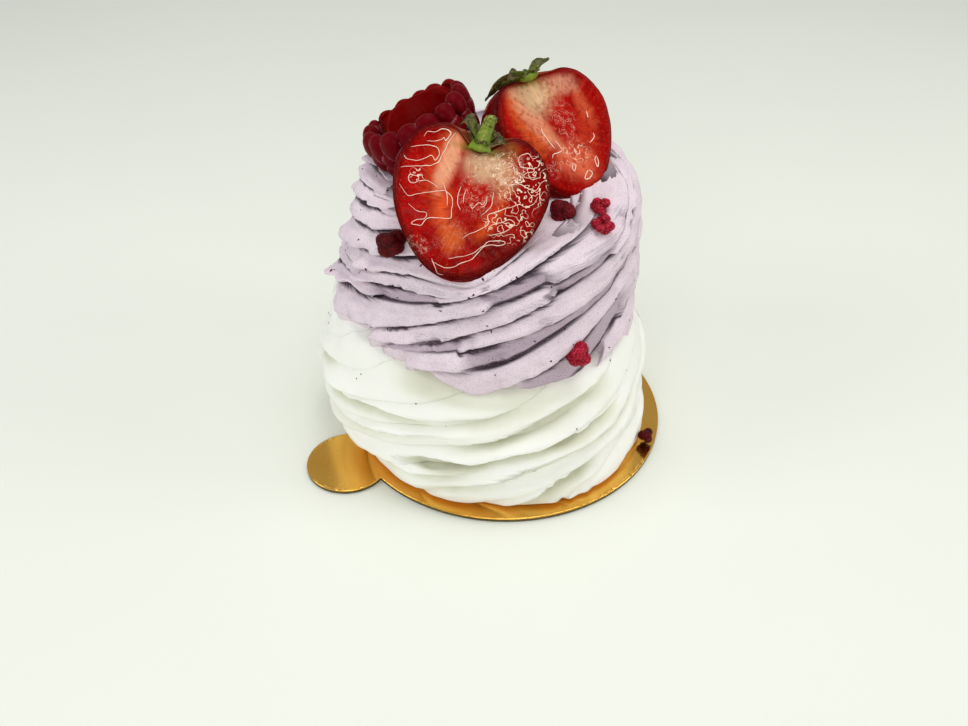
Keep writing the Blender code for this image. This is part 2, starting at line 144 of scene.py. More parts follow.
def addPiece(name, grids, material, masks=None, colours=None):
    # one welded mesh from (grid, wrap) pairs; poles are rings of equal points, which weld shut
    points = np.concatenate([grid.reshape(-1, 3) for grid, wrap in grids]) * mm
    faces, first = [], 0
    for grid, wrap in grids:
        faces.append(gridFaces(grid.shape[0], grid.shape[1], wrap, first))
        first += grid.shape[0] * grid.shape[1]
    faces = np.concatenate(faces)
    mesh = bpy.data.meshes.new(name)
    mesh.vertices.add(len(points))
    mesh.vertices.foreach_set("co", points.astype(np.float32).ravel())
    mesh.loops.add(faces.size)
    mesh.loops.foreach_set("vertex_index", faces.astype(np.int32).ravel())
    mesh.polygons.add(len(faces))
    mesh.polygons.foreach_set("loop_start", np.arange(0, faces.size, 4, dtype=np.int32))
    mesh.update(calc_edges=True)
    for maskName, values in (masks or {}).items():
        layer = mesh.attributes.new(maskName, "FLOAT", "POINT")
        layer.data.foreach_set("value", np.concatenate([np.ravel(v) for v in values]).astype(np.float32))
    for colourName, values in (colours or {}).items():
        layer = mesh.attributes.new(colourName, "FLOAT_COLOR", "POINT")
        rgb = np.concatenate([np.reshape(v, (-1, 3)) for v in values])
        rgba = np.concatenate((np.clip(rgb, 0, 1), np.ones((len(rgb), 1))), axis=1)
        layer.data.foreach_set("color", rgba.astype(np.float32).ravel())
    shape = bmesh.new()
    shape.from_mesh(mesh)
    bmesh.ops.remove_doubles(shape, verts=shape.verts, dist=2e-6)
    bmesh.ops.dissolve_degenerate(shape, edges=shape.edges, dist=1e-7)
    bmesh.ops.recalc_face_normals(shape, faces=shape.faces)
    shape.to_mesh(mesh)
    shape.free()
    mesh.shade_smooth()
    mesh.materials.append(material)
    piece = bpy.data.objects.new(name, mesh)
    bpy.context.scene.collection.objects.link(piece)
    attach(piece, "root")
    return piece


def addNode(tree, kind, inputs=None, **settings):
    # a shader node with its settings; an input that is a socket is linked, any other is a value
    made = tree.nodes.new("ShaderNode" + kind)
    for key, value in settings.items():
        setattr(made, key, value)
    for key, value in (inputs or {}).items():
        if isinstance(value, bpy.types.NodeSocket):
            tree.links.new(value, made.inputs[key])
        else:
            made.inputs[key].default_value = value
    return made


def startMaterial(name, **values):
    # a new material, its node tree and its Principled shader with fixed values set on the sockets
    material = bpy.data.materials.new(name)
    material.use_nodes = True
    tree = material.node_tree
    shader = tree.nodes["Principled BSDF"]
    for key, value in values.items():
        shader.inputs[key.replace("_", " ")].default_value = value
    return material, tree, shader


def objectNoise(tree, size, detail=2.0, roughness=0.55, stretch=None, distortion=0.0):
    # noise on Object coordinates; size in millimetres, stretch as factors along X, Y and Z
    place = addNode(tree, "TexCoord").outputs["Object"]
    if stretch:
        place = addNode(tree, "Mapping", {"Vector": place, "Scale": stretch}).outputs["Vector"]
    return addNode(tree, "TexNoise", {"Vector": place, "Scale": 1 / (size * mm), "Detail": detail,
                                      "Roughness": roughness, "Distortion": distortion}).outputs["Fac"]


def ramp(tree, fac, stops, interpolation="LINEAR"):
    # a colour ramp; stops are (place, colour)
    made = addNode(tree, "ValToRGB", {"Fac": fac})
    made.color_ramp.interpolation = interpolation
    elements = made.color_ramp.elements
    while len(elements) < len(stops):
        elements.new(0.5)
    for element, (place, colour) in zip(elements, stops):
        element.position = place
        element.color = (*colour, 1.0) if np.ndim(colour) else (colour, colour, colour, 1.0)
    return made.outputs["Color"]


def multiplied(tree, first, second, how="MULTIPLY"):
    # first * second, or another sum of the two by its name
    return addNode(tree, "Math", {0: first, 1: second}, operation=how).outputs[0]


def rangeOf(tree, value, low, high, outLow=0.0, outHigh=1.0):
    # map a value from low..high to outLow..outHigh, clamped
    return addNode(tree, "MapRange", {"Value": value, "From Min": low, "From Max": high,
                                      "To Min": outLow, "To Max": outHigh}).outputs["Result"]


def blendColours(tree, share, first, second):
    # first * (1 - share) + second * share, each a socket or a fixed value
    made = addNode(tree, "Mix", data_type="RGBA")
    for socket, value in ((made.inputs[0], share), (made.inputs[6], first), (made.inputs[7], second)):
        if isinstance(value, bpy.types.NodeSocket):
            tree.links.new(value, socket)
        else:
            socket.default_value = (*value, 1.0) if np.ndim(value) else value
    return made.outputs[2]


def attribute(tree, name, output="Fac"):
    # a value or colour stored at the mesh's own points
    return addNode(tree, "Attribute", attribute_name=name).outputs[output]


def bumps(tree, *layers):
    # bump layers on top of each other; each is (height socket, depth in millimetres, strength)
    normal = None
    for height, depth, strength in layers:
        made = addNode(tree, "Bump", {"Height": height, "Distance": depth * mm, "Strength": strength})
        if normal is not None:
            tree.links.new(normal, made.inputs["Normal"])
        normal = made.outputs["Normal"]
    return normal


def wire(tree, shader, colour, layers, roughness=None):
    # the colour, the bump layers and any roughness go into the shader
    tree.links.new(colour, shader.inputs["Base Color"])
    tree.links.new(bumps(tree, *layers), shader.inputs["Normal"])
    if roughness is not None:
        tree.links.new(roughness, shader.inputs["Roughness"])


camera = {
    "place": (-5.13857, -198.027, 172.075),
    "looks": (0.0, 0.78395, -0.62082),
    "lens": 37.19,
    "sensor": 36.0,
}


def makeCamera():
    # tipped down from level by the arc cosine of its line of sight's fall
    data = bpy.data.cameras.new("camera")
    data.lens = camera["lens"]
    data.sensor_width = camera["sensor"]
    data.clip_start = 0.01
    made = bpy.data.objects.new("camera", data)
    made.location = [value * mm for value in camera["place"]]
    made.rotation_euler = (math.acos(-camera["looks"][2]), 0.0, 0.0)
    bpy.context.scene.collection.objects.link(made)
    bpy.context.scene.camera = made


studio = {
    "floorSize": 6000.0,
    "floorDrop": 0.02,
    "floorCount": 9,
    "floorColour": (0.83, 0.86, 0.79),
    "worldColour": (0.97, 0.98, 0.96),
    "worldStrength": 0.42,
    # name, place, aim, size across and down, power, colour
    "lights": (
        ("overhead", (60, 60, 620), (0, 0, 40), (420, 300), 1.55, (1.0, 0.985, 0.95)),
        ("leftPanel", (-520, -120, 330), (0, 0, 50), (260, 360), 0.8, (0.97, 0.99, 1.0)),
        ("rightPanel", (560, -60, 300), (0, 0, 50), (220, 340), 0.8, (1.0, 0.98, 0.95)),
        ("frontPanel", (-60, -560, 330), (0, 0, 45), (420, 200), 1.0, (1.0, 1.0, 0.97)),
    ),
}


def makeStudio():
    # a pale world, area lights that each face their aim, and a flat floor just under the card
    world = bpy.data.worlds.new("studio")
    world.use_nodes = True
    background = world.node_tree.nodes["Background"]
    background.inputs["Color"].default_value = (*studio["worldColour"], 1.0)
    background.inputs["Strength"].default_value = studio["worldStrength"]
    bpy.context.scene.world = world
    bpy.context.scene.view_settings.view_transform = "Standard"
    bpy.context.scene.view_settings.look = "None"
    for name, place, aim, size, power, colour in studio["lights"]:
        data = bpy.data.lights.new(name, "AREA")
        data.shape = "RECTANGLE"
        data.size, data.size_y = size[0] * mm, size[1] * mm
        data.energy = power
        data.color = colour
        made = bpy.data.objects.new(name, data)
        made.location = [value * mm for value in place]
        made.rotation_euler = Vector(np.subtract(place, aim)).to_track_quat("Z", "Y").to_euler()
        bpy.context.scene.collection.objects.link(made)
    half = studio["floorSize"] / 2
    count = studio["floorCount"]
    side = np.linspace(-half, half, count)
    grid = stacked(*np.meshgrid(side, side), -studio["floorDrop"])
    material, tree, shader = startMaterial("paleFloor", Roughness=0.6)
    tint = ramp(tree, objectNoise(tree, 120.0), ((0.3, studio["floorColour"]),
                                                 (0.7, np.multiply(studio["floorColour"], 1.02))))
    wire(tree, shader, tint, [(objectNoise(tree, 2.0), 0.03, 0.2)])
    mesh = bpy.data.meshes.new("floor")
    mesh.from_pydata((grid.reshape(-1, 3) * mm).tolist(), [], gridFaces(count, count, False).tolist())
    mesh.materials.append(material)
    floor = bpy.data.objects.new("floor", mesh)
    bpy.context.scene.collection.objects.link(floor)


card = {
    "radius": 40.0,
    "tabRadius": 10.1,
    "tabDistance": 43.7,
    "tabAngle": math.radians(-151.4),
    "points": 900,
    # inset from the outline and height, from the middle of the top round the edge to the bottom
    "section": ((2.6, 1.10), (1.5, 1.10), (0.9, 1.105), (0.65, 1.115), (0.45, 1.15), (0.26, 1.16),
                (0.08, 1.11), (0.0, 0.98), (0.05, 0.8), (0.03, 0.45), (0.06, 0.2), (0.22, 0.03),
                (0.5, 0.0), (2.6, 0.0)),
    "crimp": 0.14,
    "foilDownTo": 0.9,  # lower faces show the bare board
}


def cardOutline():
    # two circles' arcs, sampled evenly along their length, that meet in sharp notches
    tab = np.array((math.cos(card["tabAngle"]), math.sin(card["tabAngle"]))) * card["tabDistance"]
    along = ((card["tabDistance"] ** 2 + card["radius"] ** 2 - card["tabRadius"] ** 2)
             / (2 * card["tabDistance"]))
    discHalf = math.acos(along / card["radius"])
    tabHalf = math.pi - math.acos((card["tabDistance"] - along) / card["tabRadius"])
    discLength = (turn - 2 * discHalf) * card["radius"]
    tabLength = 2 * tabHalf * card["tabRadius"]
    discCount = round(card["points"] * discLength / (discLength + tabLength))
    disc = np.linspace(card["tabAngle"] + discHalf, card["tabAngle"] + turn - discHalf, discCount)
    lid = np.linspace(card["tabAngle"] - tabHalf, card["tabAngle"] + tabHalf,
                      card["points"] - discCount + 2)[1:-1]
    circle = np.stack((np.cos(disc), np.sin(disc)), axis=-1) * card["radius"]
    ear = tab + np.stack((np.cos(lid), np.sin(lid)), axis=-1) * card["tabRadius"]
    return np.concatenate((circle, ear))


def cardPiece(foil, core):
    # the section carried round the outline; flat many-sided faces close the top and the underside
    outline = cardOutline()
    step = np.roll(outline, -1, axis=0) - np.roll(outline, 1, axis=0)
    inwards = unit(np.stack((-step[:, 1], step[:, 0]), axis=-1))
    for _ in range(6):
        inwards = unit(inwards + 0.5 * (np.roll(inwards, 1, axis=0) + np.roll(inwards, -1, axis=0)))
    section = smoothPath(card["section"], 34)
    inset, height = section[:, 0][:, None, None], section[:, 1][:, None]
    flat = outline[None] + inwards[None] * inset
    grid = stacked(flat[..., 0], flat[..., 1], height)
    rim = np.exp(-((section[:, 0] - 0.35) / 0.4) ** 2) * (section[:, 1] > 0.9)
    wrinkle = np.minimum(layeredNoise(grid * (1, 1, 0), 0.8, 2, 11), 0.0)
    grid[..., 2] += rim[:, None] * card["crimp"] * wrinkle
    piece = addPiece("cardGold", [(grid, True)], foil)
    mesh = piece.data
    mesh.materials.append(core)
    shape = bmesh.new()
    shape.from_mesh(mesh)
    shape.edges.ensure_lookup_table()
    bmesh.ops.holes_fill(shape, edges=[edge for edge in shape.edges if edge.is_boundary], sides=0)
    bmesh.ops.recalc_face_normals(shape, faces=shape.faces)
    for face in shape.faces:
        middle = face.calc_center_median()
        face.material_index = 1 if middle.z < card["foilDownTo"] * mm else 0
        face.smooth = len(face.verts) < 5
    shape.to_mesh(mesh)
    shape.free()
    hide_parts("card")


def goldFoil():
    # warm gold that varies slowly, finely uneven in its shine, with broad shallow dents
    material, tree, shader = startMaterial("goldFoil", Metallic=1.0, Roughness=0.24)
    tint = ramp(tree, objectNoise(tree, 18.0), ((0.3, (0.86, 0.44, 0.07)), (0.7, (0.95, 0.55, 0.12))))
    wire(tree, shader, tint, [(objectNoise(tree, 14.0), 0.12, 0.3), (objectNoise(tree, 0.9), 0.006, 0.2)],
         rangeOf(tree, objectNoise(tree, 0.5, 3.0), 0.35, 0.7, 0.14, 0.24))
    return material


def cardEdge():
    # the board's cut side: dark fibres lying flat, with gold rubbed over them
    material, tree, shader = startMaterial("cardEdge", Metallic=0.75, Roughness=0.5)
    tint = ramp(tree, objectNoise(tree, 0.9, 3.0, stretch=(1, 1, 3)),
                ((0.3, (0.06, 0.045, 0.012)), (0.55, (0.15, 0.11, 0.03)), (0.75, (0.34, 0.22, 0.06))))
    wire(tree, shader, tint, [(objectNoise(tree, 0.4, 3.0), 0.1, 0.6)])
    return material


piping = {
    "turnTilt": 2.6,
    "lean": ((0.0, -0.4, -1.2), (8.0, -5.2, 2.4), (25.0, -5.0, 3.4), (38.0, -5.0, 3.4),
             (42.0, -3.7, 4.4), (62.0, -2.0, 4.9)),  # height, then the centre's x and y
    "shoulderTilt": 5.5,
    "shoulderLow": math.radians(-30.0),
    "shoulderFrom": 8.0,
    "shoulderTo": 26.0,
}


def ridgeColumns(swirl):
    # for each column: start angle, height and place across its ridge from 0 to 1, and ridge number
    count = swirl["columns"]
    widths = np.array(swirl["widths"])
    edges = np.concatenate(([0.0], np.cumsum(widths))) / widths.sum() * turn
    edges = edges + math.radians(swirl["phase"])
    path = smoothPath(swirl["crossing"], count + 1)[:-1]
    starts = edges[:-1, None] + path[:, 0] * np.diff(edges)[:, None]
    numbers = np.repeat(np.arange(len(widths)), count)
    return starts.ravel(), np.tile(path[:, 1], len(widths)), np.tile(path[:, 0], len(widths)), numbers


def woundAngles(starts, heights, lead):
    # angle = start + a full turn for each lead of height, the height raised by turnTilt * sin(angle)
    angles = starts + turn * heights / lead
    for _ in range(30):
        angles = 0.5 * (angles + starts + turn * (heights + piping["turnTilt"] * np.sin(angles)) / lead)
    return angles


def unevenRidges(numbers, angles, uneven):
    # 1 + alternating share on the left + two slow waves, so that each ridge swells and thins
    alternate = np.where(numbers % 2 == 0, 1.0, -1.0) * (1 - np.cos(angles)) / 2
    return (1.0 + uneven * alternate + 0.14 * np.sin(2.4 * numbers + angles)
            + 0.08 * np.sin(4.1 * numbers + 2 * angles))


def shoulderSink(height, angles):
    # how far the meringue's uneven shoulder sinks: a share of the tilt, most at the low side
    share = (height - piping["shoulderFrom"]) / (piping["shoulderTo"] - piping["shoulderFrom"])
    return np.clip(share, 0, 1) * piping["shoulderTilt"] * (1 + np.cos(angles - piping["shoulderLow"])) / 2


def placed(angles, radius, level, centreHeight):
    # a point at an angle and radius round the leaning centre line
    heights, xs, ys = zip(*piping["lean"])
    x = np.interp(centreHeight, heights, xs)
    y = np.interp(centreHeight, heights, ys)
    return stacked(x + radius * np.cos(angles), y + radius * np.sin(angles), cardThickness + level)


meringue = {
    "widths": (29.8, 28.4, 40.8, 27.0, 32.0, 26.0, 31.0, 29.0, 33.0, 25.0, 30.0, 28.0),
    "phase": 142.6,
    "lead": 76.0,
    "depth": 1.9,
    "uneven": 0.1,
    # across one ridge: place and height, from a groove over the crest, which hangs over the next
    "crossing": ((0.0, 0.0), (0.03, 0.22), (0.1, 0.42), (0.3, 0.76), (0.52, 0.94), (0.74, 1.0),
                 (0.88, 0.93), (0.97, 0.7), (1.01, 0.42), (1.01, 0.18), (1.0, 0.0)),
    "columns": 30,
    "rows": 236,
    "shownRows": 196,  # these reach the shoulder; the rest lie under the cream
    "shoulder": 34.0,
    # height, crest radius, share of the ridge depth
    "profile": ((0.0, 35.4, 0.8), (0.6, 36.6, 0.95), (1.6, 37.4, 1.0), (4.6, 39.2, 1.0), (8.5, 40.4, 1.0),
                (13.0, 40.8, 1.0), (17.5, 40.6, 1.0), (22.0, 40.1, 0.9), (26.6, 39.2, 0.6),
                (30.4, 38.0, 0.25), (32.8, 36.4, 0.0), (34.6, 33.4, 0.0), (36.0, 27.6, 0.0),
                (37.0, 19.0, 0.0), (37.5, 10.0, 0.0), (37.6, 0.01, 0.0)),
    "wander": 1.6,
    # folds: the lower edge of each lapped ribbon as (degrees, height), how far it stands proud, and how
    # far up it fades back into the flank
    "folds": (
        (((-160, 20.5), (-142, 22.6), (-127, 24.9), (-112, 26.4), (-100, 27.4)), 1.0, 6.0),
        (((-120, 25.8), (-105, 28.3), (-90, 30.2), (-76, 32.2), (-60, 33.6)), 0.8, 3.0),
        (((-104, 21.4), (-90, 23.8), (-80, 26.6), (-71, 29.0), (-58, 31.2), (-38, 33.0)), 1.5, 6.0),
        (((-112, 12.6), (-95, 16.2), (-85, 19.2), (-72, 21.2), (-58, 22.2), (-36, 25.4)), 1.5, 6.5),
        (((-98, 8.2), (-85, 11.2), (-76, 14.8), (-62, 17.4), (-48, 18.6), (-24, 22.6)), 1.5, 6.0),
        (((-92, -0.6), (-79, 2.6), (-68, 6.2), (-56, 8.6), (-42, 12.4), (-20, 17.0)), 1.4, 7.0),
        (((-168, 12.0), (-145, 14.6), (-127, 18.4), (-108, 22.4), (-92, 25.6)), 0.7, 5.0),
        (((-150, 4.0), (-130, 8.6), (-112, 9.6), (-96, 13.0), (-86, 16.0)), 0.8, 4.5),
        (((-120, 3.0), (-106, 6.6), (-92, 8.2), (-78, 11.6), (-66, 14.6)), 0.6, 4.0),
    ),
    "strayFolds": 30,
    # the shoulder rises to meet the cream's foot: degrees and how far, between these two radii
    "collar": ((-180, 3.0), (-150, 3.4), (-125, 3.4), (-108, 2.4), (-97, 0.9), (-60, 0.8), (-45, 0.8),
               (-28, 2.0), (-10, 1.6), (10, 2.4), (90, 2.5), (180, 3.0)),
    "collarRadii": (38.4, 35.2),
    # a leaf-shaped hollow: degrees, height, half lengths along and across it, slope, depth
    "hollow": (-107, 14.2, 13.0, 1.9, 0.16, 1.5),
    # torn little feet at the bottom of the front: where from in radians, how wide, how high, how far out
    "feet": (1.33, 0.5, 3.2, 1.6),
    "lift": 0.02,  # nothing lies lower than this above the card
}


def foldList():
    # the folds at the front, then others all round that climb as the piping does
    folds = list(meringue["folds"])
    rng = np.random.default_rng(11)
    for _ in range(meringue["strayFolds"]):
        start, reach = rng.uniform(-30, 190), rng.uniform(28, 62)
        low, slope = rng.uniform(-2.0, 30.0), rng.uniform(0.12, 0.26)
        bend = rng.uniform(-1.6, 1.6)
        places = tuple((start + reach * share,
                        low + reach * slope * share + bend * math.sin(share * math.pi))
                       for share in (0.0, 0.25, 0.5, 0.75, 1.0))
        folds.append((places, rng.uniform(0.6, 1.3), rng.uniform(4.0, 7.5)))
    return folds


def foldRelief(angles, height, ragged):
    # rise = proud * sin(pi t)^0.6, full at the fold's edge and fading above; the shade lies just below
    rise = np.zeros(angles.shape)
    shade = np.zeros(angles.shape)
    degrees = np.degrees(angles)
    for places, proud, blend in foldList():
        path = smoothPath(places, 60)
        first, last = path[0, 0], path[-1, 0]
        local = np.mod(degrees - first + 40, 360) - 40 + first
        along = np.clip((local - first) / (last - first), 0.0, 1.0)
        above = height - np.interp(local, path[:, 0], path[:, 1]) + 0.5 * ragged
        ends = np.sin(along * math.pi) ** 0.6
        rise += proud * ends * smoothStep(-0.22, 0.3, above) * (1 - smoothStep(0.5, blend, above))
        rise -= 0.3 * proud * ends * smoothStep(-3.0, -0.2, above) * (1 - smoothStep(-0.2, 0.3, above))
        under = smoothStep(-5.0, -0.2, above) * (1 - smoothStep(-0.3, 0.15, above))
        shade = np.maximum(shade, proud * ends * under)
    return rise, shade


def meringueGrid():
    # radius = profile - ridge depth * (1 - swell) + folds, wound round; then slow and fine unevenness
    starts, swell, across, numbers = ridgeColumns(meringue)
    smooth = smoothPath(meringue["profile"], 800)
    shoulder = int(np.argmax(smooth[:, 0] > meringue["shoulder"]))
    shown = meringue["shownRows"]
    rest = np.linspace(shoulder, len(smooth) - 1, meringue["rows"] - shown + 1)[1:]
    rows = smooth[np.concatenate((np.linspace(0, shoulder, shown), rest)).astype(int)]
    height, radius, share = (rows[:, i][:, None] for i in range(3))
    angles = woundAngles(starts[None, :], height, meringue["lead"])
    circle = stacked(40 * np.cos(angles), 40 * np.sin(angles), height)
    angles = angles + 0.018 * meringue["wander"] * noise(circle, 11.0, 3) * np.minimum(1, radius / 20)
    depth = meringue["depth"] * share * unevenRidges(numbers, angles, meringue["uneven"])
    depth = depth * (1 + 0.6 * noise(circle, 14.0, 5))
    ragged = 0.7 * noise(circle, 3.2, 41) + 0.35 * noise(circle, 1.2, 42)
    rise, shade = foldRelief(angles, height, ragged)
    middle, level, halfAlong, halfAcross, slope, deep = meringue["hollow"]
    along = np.mod(np.degrees(angles) - middle + 180, 360) - 180
    inside = 1 - (along / halfAlong) ** 2 - ((height - level - slope * along) / halfAcross) ** 2
    hollow = np.sqrt(np.maximum(inside, 0))
    broad = 0.9 * noise(circle * (1, 1, 1.6), 16.0, 6)
    level = gap + height - shoulderSink(height, angles)
    collar = np.interp(np.mod(np.degrees(angles) + 180, 360) - 180, *zip(*meringue["collar"]))
    level += collar * smoothStep(*meringue["collarRadii"], radius) * smoothStep(24.0, 32.0, height)
    rise = rise * smoothStep(34.0, 29.0, height)
    grid = placed(angles, radius - depth * (1 - swell) + share * (rise + broad - 0.5) - deep * hollow,
                  level, height)
    # the lowest turn is torn into small feet where it was lifted off at the front
    start, reach, high, out = meringue["feet"]
    foot = smoothStep(high, 0.4, height) * np.exp(-(np.mod(angles + start, turn) / reach) ** 2)
    torn = np.maximum(0, noise(circle * (1, 1, 0.2), 2.4, 8))
    outwards = stacked(np.cos(angles), np.sin(angles), 0.0)
    grid = grid + outwards * (foot * (out * torn))[..., None]
    grid[..., 2] = np.maximum(grid[..., 2], cardThickness + meringue["lift"])
    normals = surfaceNormals(grid, True)
    fade = np.clip(radius / 12, 0, 1)
    slow = noise(grid, 6.0, 21) * 0.28 + noise(grid, 2.4, 22) * 0.1
    drag = noise(stacked(across * 6 + numbers * 9.0, height / 9.0, 0.0), 1.0, 31) * 0.1
    grid = grid + normals * ((slow + drag * share) * fade)[..., None]
    grid[..., 2] = np.maximum(grid[..., 2], cardThickness + meringue["lift"])
    ring = np.broadcast_to(np.mean(grid[0], axis=0), grid[:1].shape)
    # the cream throws a soft shade on the front of the shoulder
    front = smoothStep(0.75, 0.35, np.abs(np.angle(np.exp(1j * (angles - math.radians(-88))))))
    shade = np.maximum(0.85 * shade, 0.6 * front * smoothStep(30.0, 32.5, height))
    shade = shade + 1.2 * hollow + 0.25 * (1 - swell) * share + 0.25 * noise(circle, 9.0, 7)
    shade = np.clip(shade, 0, 1)
    return np.concatenate((ring, grid)), np.concatenate((shade[:1], shade))


def bakedMeringue():
    # off-white, greener and darker in the folds' shade, with pale patches
    material, tree, shader = startMaterial("bakedMeringue", Roughness=0.5, Subsurface_Weight=0.25,
                                           Subsurface_Scale=1.2 * mm, Subsurface_Radius=(1.0, 0.95, 0.8))
    deep = attribute(tree, "shade")
    base = ramp(tree, deep, ((0.0, (0.95, 0.955, 0.90)), (0.3, (0.88, 0.885, 0.80)),
                             (0.8, (0.64, 0.645, 0.50)), (1.0, (0.50, 0.50, 0.36))))
    patches = rangeOf(tree, objectNoise(tree, 7.0, 3.0), 0.35, 0.75, 0.0, 0.35)
    wire(tree, shader, blendColours(tree, patches, base, (0.92, 0.92, 0.83)),
         [(objectNoise(tree, 2.2, 3.0), 0.25, 0.3), (objectNoise(tree, 0.3), 0.03, 0.3)],
         rangeOf(tree, objectNoise(tree, 2.0), 0.3, 0.7, 0.4, 0.58))
    return material


cream = {
    # where each groove starts round the swirl, in degrees
    "grooves": (281, 301, 326, 350, 365, 385, 410, 432, 457, 481, 507, 536, 556, 580, 604, 625),
    # how far each ridge's lower end hangs below or above the foot of the swirl, first to last
    "ends": (0.0, 0.8, -0.4, 1.0, 1.5, 2.6, 4.4, 4.0, 1.6, -2.2, -3.7, -1.0, -2.4, 1.6, 1.4, 0.2),
    # how far each groove strays from its helix, in degrees, at these places round the swirl
    "stations": (-180, -160, -140, -120, -104, -88, -72, -56, -40, -20, 0, 40, 180),
    "strays": {
        350: (0, 0, -3, -1, 14, 9, 0, -3, 0, 0, 0, 0, 0),
        365: (0, 0, -1, 4, 14, 10, 9, 12, 13, 13, 11, 0, 0),
        385: (0, -5, 6, 5, -3, -10, -11, -5, 2, 10, 17, 8, 0),
        410: (0, 10, 12, 10, -1, -7, -10, -4, 8, 14, 16, 8, 0),
        432: (0, 3, 6, 8, 9, 1, -6, -8, -1, 3, 8, 5, 0),
        457: (0, -6, -9, -9, -1, 0, 1, 0, 3, 5, 7, 0, 0),
        481: (0, -10, -12, -11, -6, 4, 1, -1, -1, 0, 0, 0, 0),
        507: (0, -8, -8, -4, 1, 6, 2, -4, -14, -12, -8, 0, 0),
        536: (0, 0, 0, 4, 6, 8, 10, 11, 3, -8, -10, 0, 0),
        556: (0, 0, 0, 4, 4, 4, 2, 0, -3, -3, -3, 0, 0),
    },
    # ridges that lie back under the one above: ridge number, from and to in degrees
    "recessed": ((4, -142, -112), (5, -94, -70), (6, -70, -38), (7, -136, -99), (8, -96, -18), (10, -78, -28),
                 (1, 20, 80), (3, 60, 120), (6, 90, 150), (9, 30, 75), (12, 100, 160), (14, 40, 90)),
    "recess": 1.3,
    "lead": 84.0,
    "depth": 5.2,
    "uneven": 0.2,
    "fullWidth": 22.0,  # degrees; a narrower ridge is shallower too
    # across one ridge: place and height, from under the ridge above to the overhanging crest
    "crossing": ((0.0, 0.0), (0.0, 0.2), (0.01, 0.38), (0.05, 0.52), (0.14, 0.64), (0.32, 0.77),
                 (0.58, 0.9), (0.82, 0.98), (0.95, 1.0), (1.05, 0.97), (1.11, 0.88), (1.12, 0.72),
                 (1.08, 0.45), (1.03, 0.2), (1.0, 0.0)),
    "columns": 30,
    "wallRows": 150,
    "wallEnd": 38.0,  # length up the profile to which the wall's rows reach
    "topRows": 60,
    "profile": ((31.4, 36.0, 0.8), (34.0, 36.2, 0.95), (37.2, 36.1, 1.0), (40.4, 35.6, 1.0),
                (43.4, 35.0, 1.0), (46.6, 34.5, 1.0), (50.0, 34.1, 1.0), (53.4, 33.7, 1.0),
                (56.8, 33.4, 1.0), (60.0, 32.8, 1.0), (62.8, 31.4, 1.0), (64.8, 29.0, 0.95),
                (65.2, 26.2, 0.85), (64.4, 22.4, 0.6), (63.4, 16.0, 0.35), (63.0, 8.0, 0.1),
                (62.9, 0.01, 0.0)),
    "petalRise": 4.6,
    "petalHeight": 13.0,
    "rimRadius": 31.0,
    "rimTilt": 6.2,
    "rimDip": 3.4,  # the rim is this much lower again in the middle of the back
    "rimFrom": 44.0,
    "rimTo": 61.5,
    "shoulderFeltTo": 50.0,
    "bite": 1.1,  # how far a torn crest drops back
    "lips": (0.3, 1.7),  # how far thin lips stand out all round, and how much more on the left
    "nicks": (0.18, 0.2),  # how deep small nicks cut them, and how much more on the left
    # under the foot: share of the radius, and how far down towards the shoulder
    "under": ((0.99, 0.15), (0.965, 0.7), (0.93, 1.0), (0.8, 1.0), (0.5, 1.0), (0.1, 1.0)),
}


def creamLevel(height, radius, angles):
    # height of a row: low rows follow the shoulder, high ones the tilted rim
    lowest = cream["profile"][0][0]
    low = np.clip((cream["shoulderFeltTo"] - height) / (cream["shoulderFeltTo"] - lowest), 0.0, 1.0)
    rim = np.clip((height - cream["rimFrom"]) / (cream["rimTo"] - cream["rimFrom"]), 0.0, 1.0)
    rim = rim * np.minimum(1.0, radius / cream["rimRadius"])
    lift = piping["shoulderTilt"] * (1 - np.cos(angles - piping["shoulderLow"])) / 2
    tilt = cream["rimTilt"] * np.sin(angles) - cream["rimDip"] * np.maximum(0.0, np.sin(angles)) ** 2
    return height + low * lift + rim * tilt


def grooveTable():
    # each groove's start angle at every half degree round the swirl, the strays joined smoothly
    degrees = np.linspace(-180, 180, 721)
    starts = []
    for groove in cream["grooves"]:
        strays = cream["strays"].get(groove, (0,) * len(cream["stations"]))
        path = smoothPath(np.stack((cream["stations"], strays), axis=-1), 400)
        starts.append(groove + np.interp(degrees, path[:, 0], path[:, 1]))
    starts.append(starts[0] + 360.0)
    return np.radians(starts)


def tableValue(table, number, angles):
    # a groove's start at an angle, between the two nearest half degrees
    places = (np.mod(angles + math.pi, turn)) / turn * 720
    low = np.minimum(places.astype(int), 719)
    part = places - low
    return table[number, low] * (1 - part) + table[number, low + 1] * part


def creamAngles(table, numbers, across, wound):
    # angle = the ridge's own start there + a turn for each lead of piped length, settled in small steps
    angles = table[numbers, 0] * (1 - across) + table[numbers + 1, 0] * across
    angles = angles + turn * wound / cream["lead"]
    for _ in range(70):
        first = tableValue(table, numbers, angles)
        start = first + across * (tableValue(table, numbers + 1, angles) - first)
        target = start + turn * (wound + piping["turnTilt"] * np.sin(angles)) / cream["lead"]
        angles = angles + 0.4 * (target - angles)
    width = tableValue(table, numbers + 1, angles) - tableValue(table, numbers, angles)
    return angles, np.degrees(width)


def shoulderLevel(offsets):
    # height of the meringue's sloping top at offsets from its centre line
    heights, radii, _ = zip(*[row for row in meringue["profile"] if row[0] > 26])
    height = np.interp(-np.hypot(offsets[..., 0], offsets[..., 1]), np.negative(radii), heights)
    angles = np.arctan2(offsets[..., 1], offsets[..., 0])
    return cardThickness + gap + height - shoulderSink(height, angles)


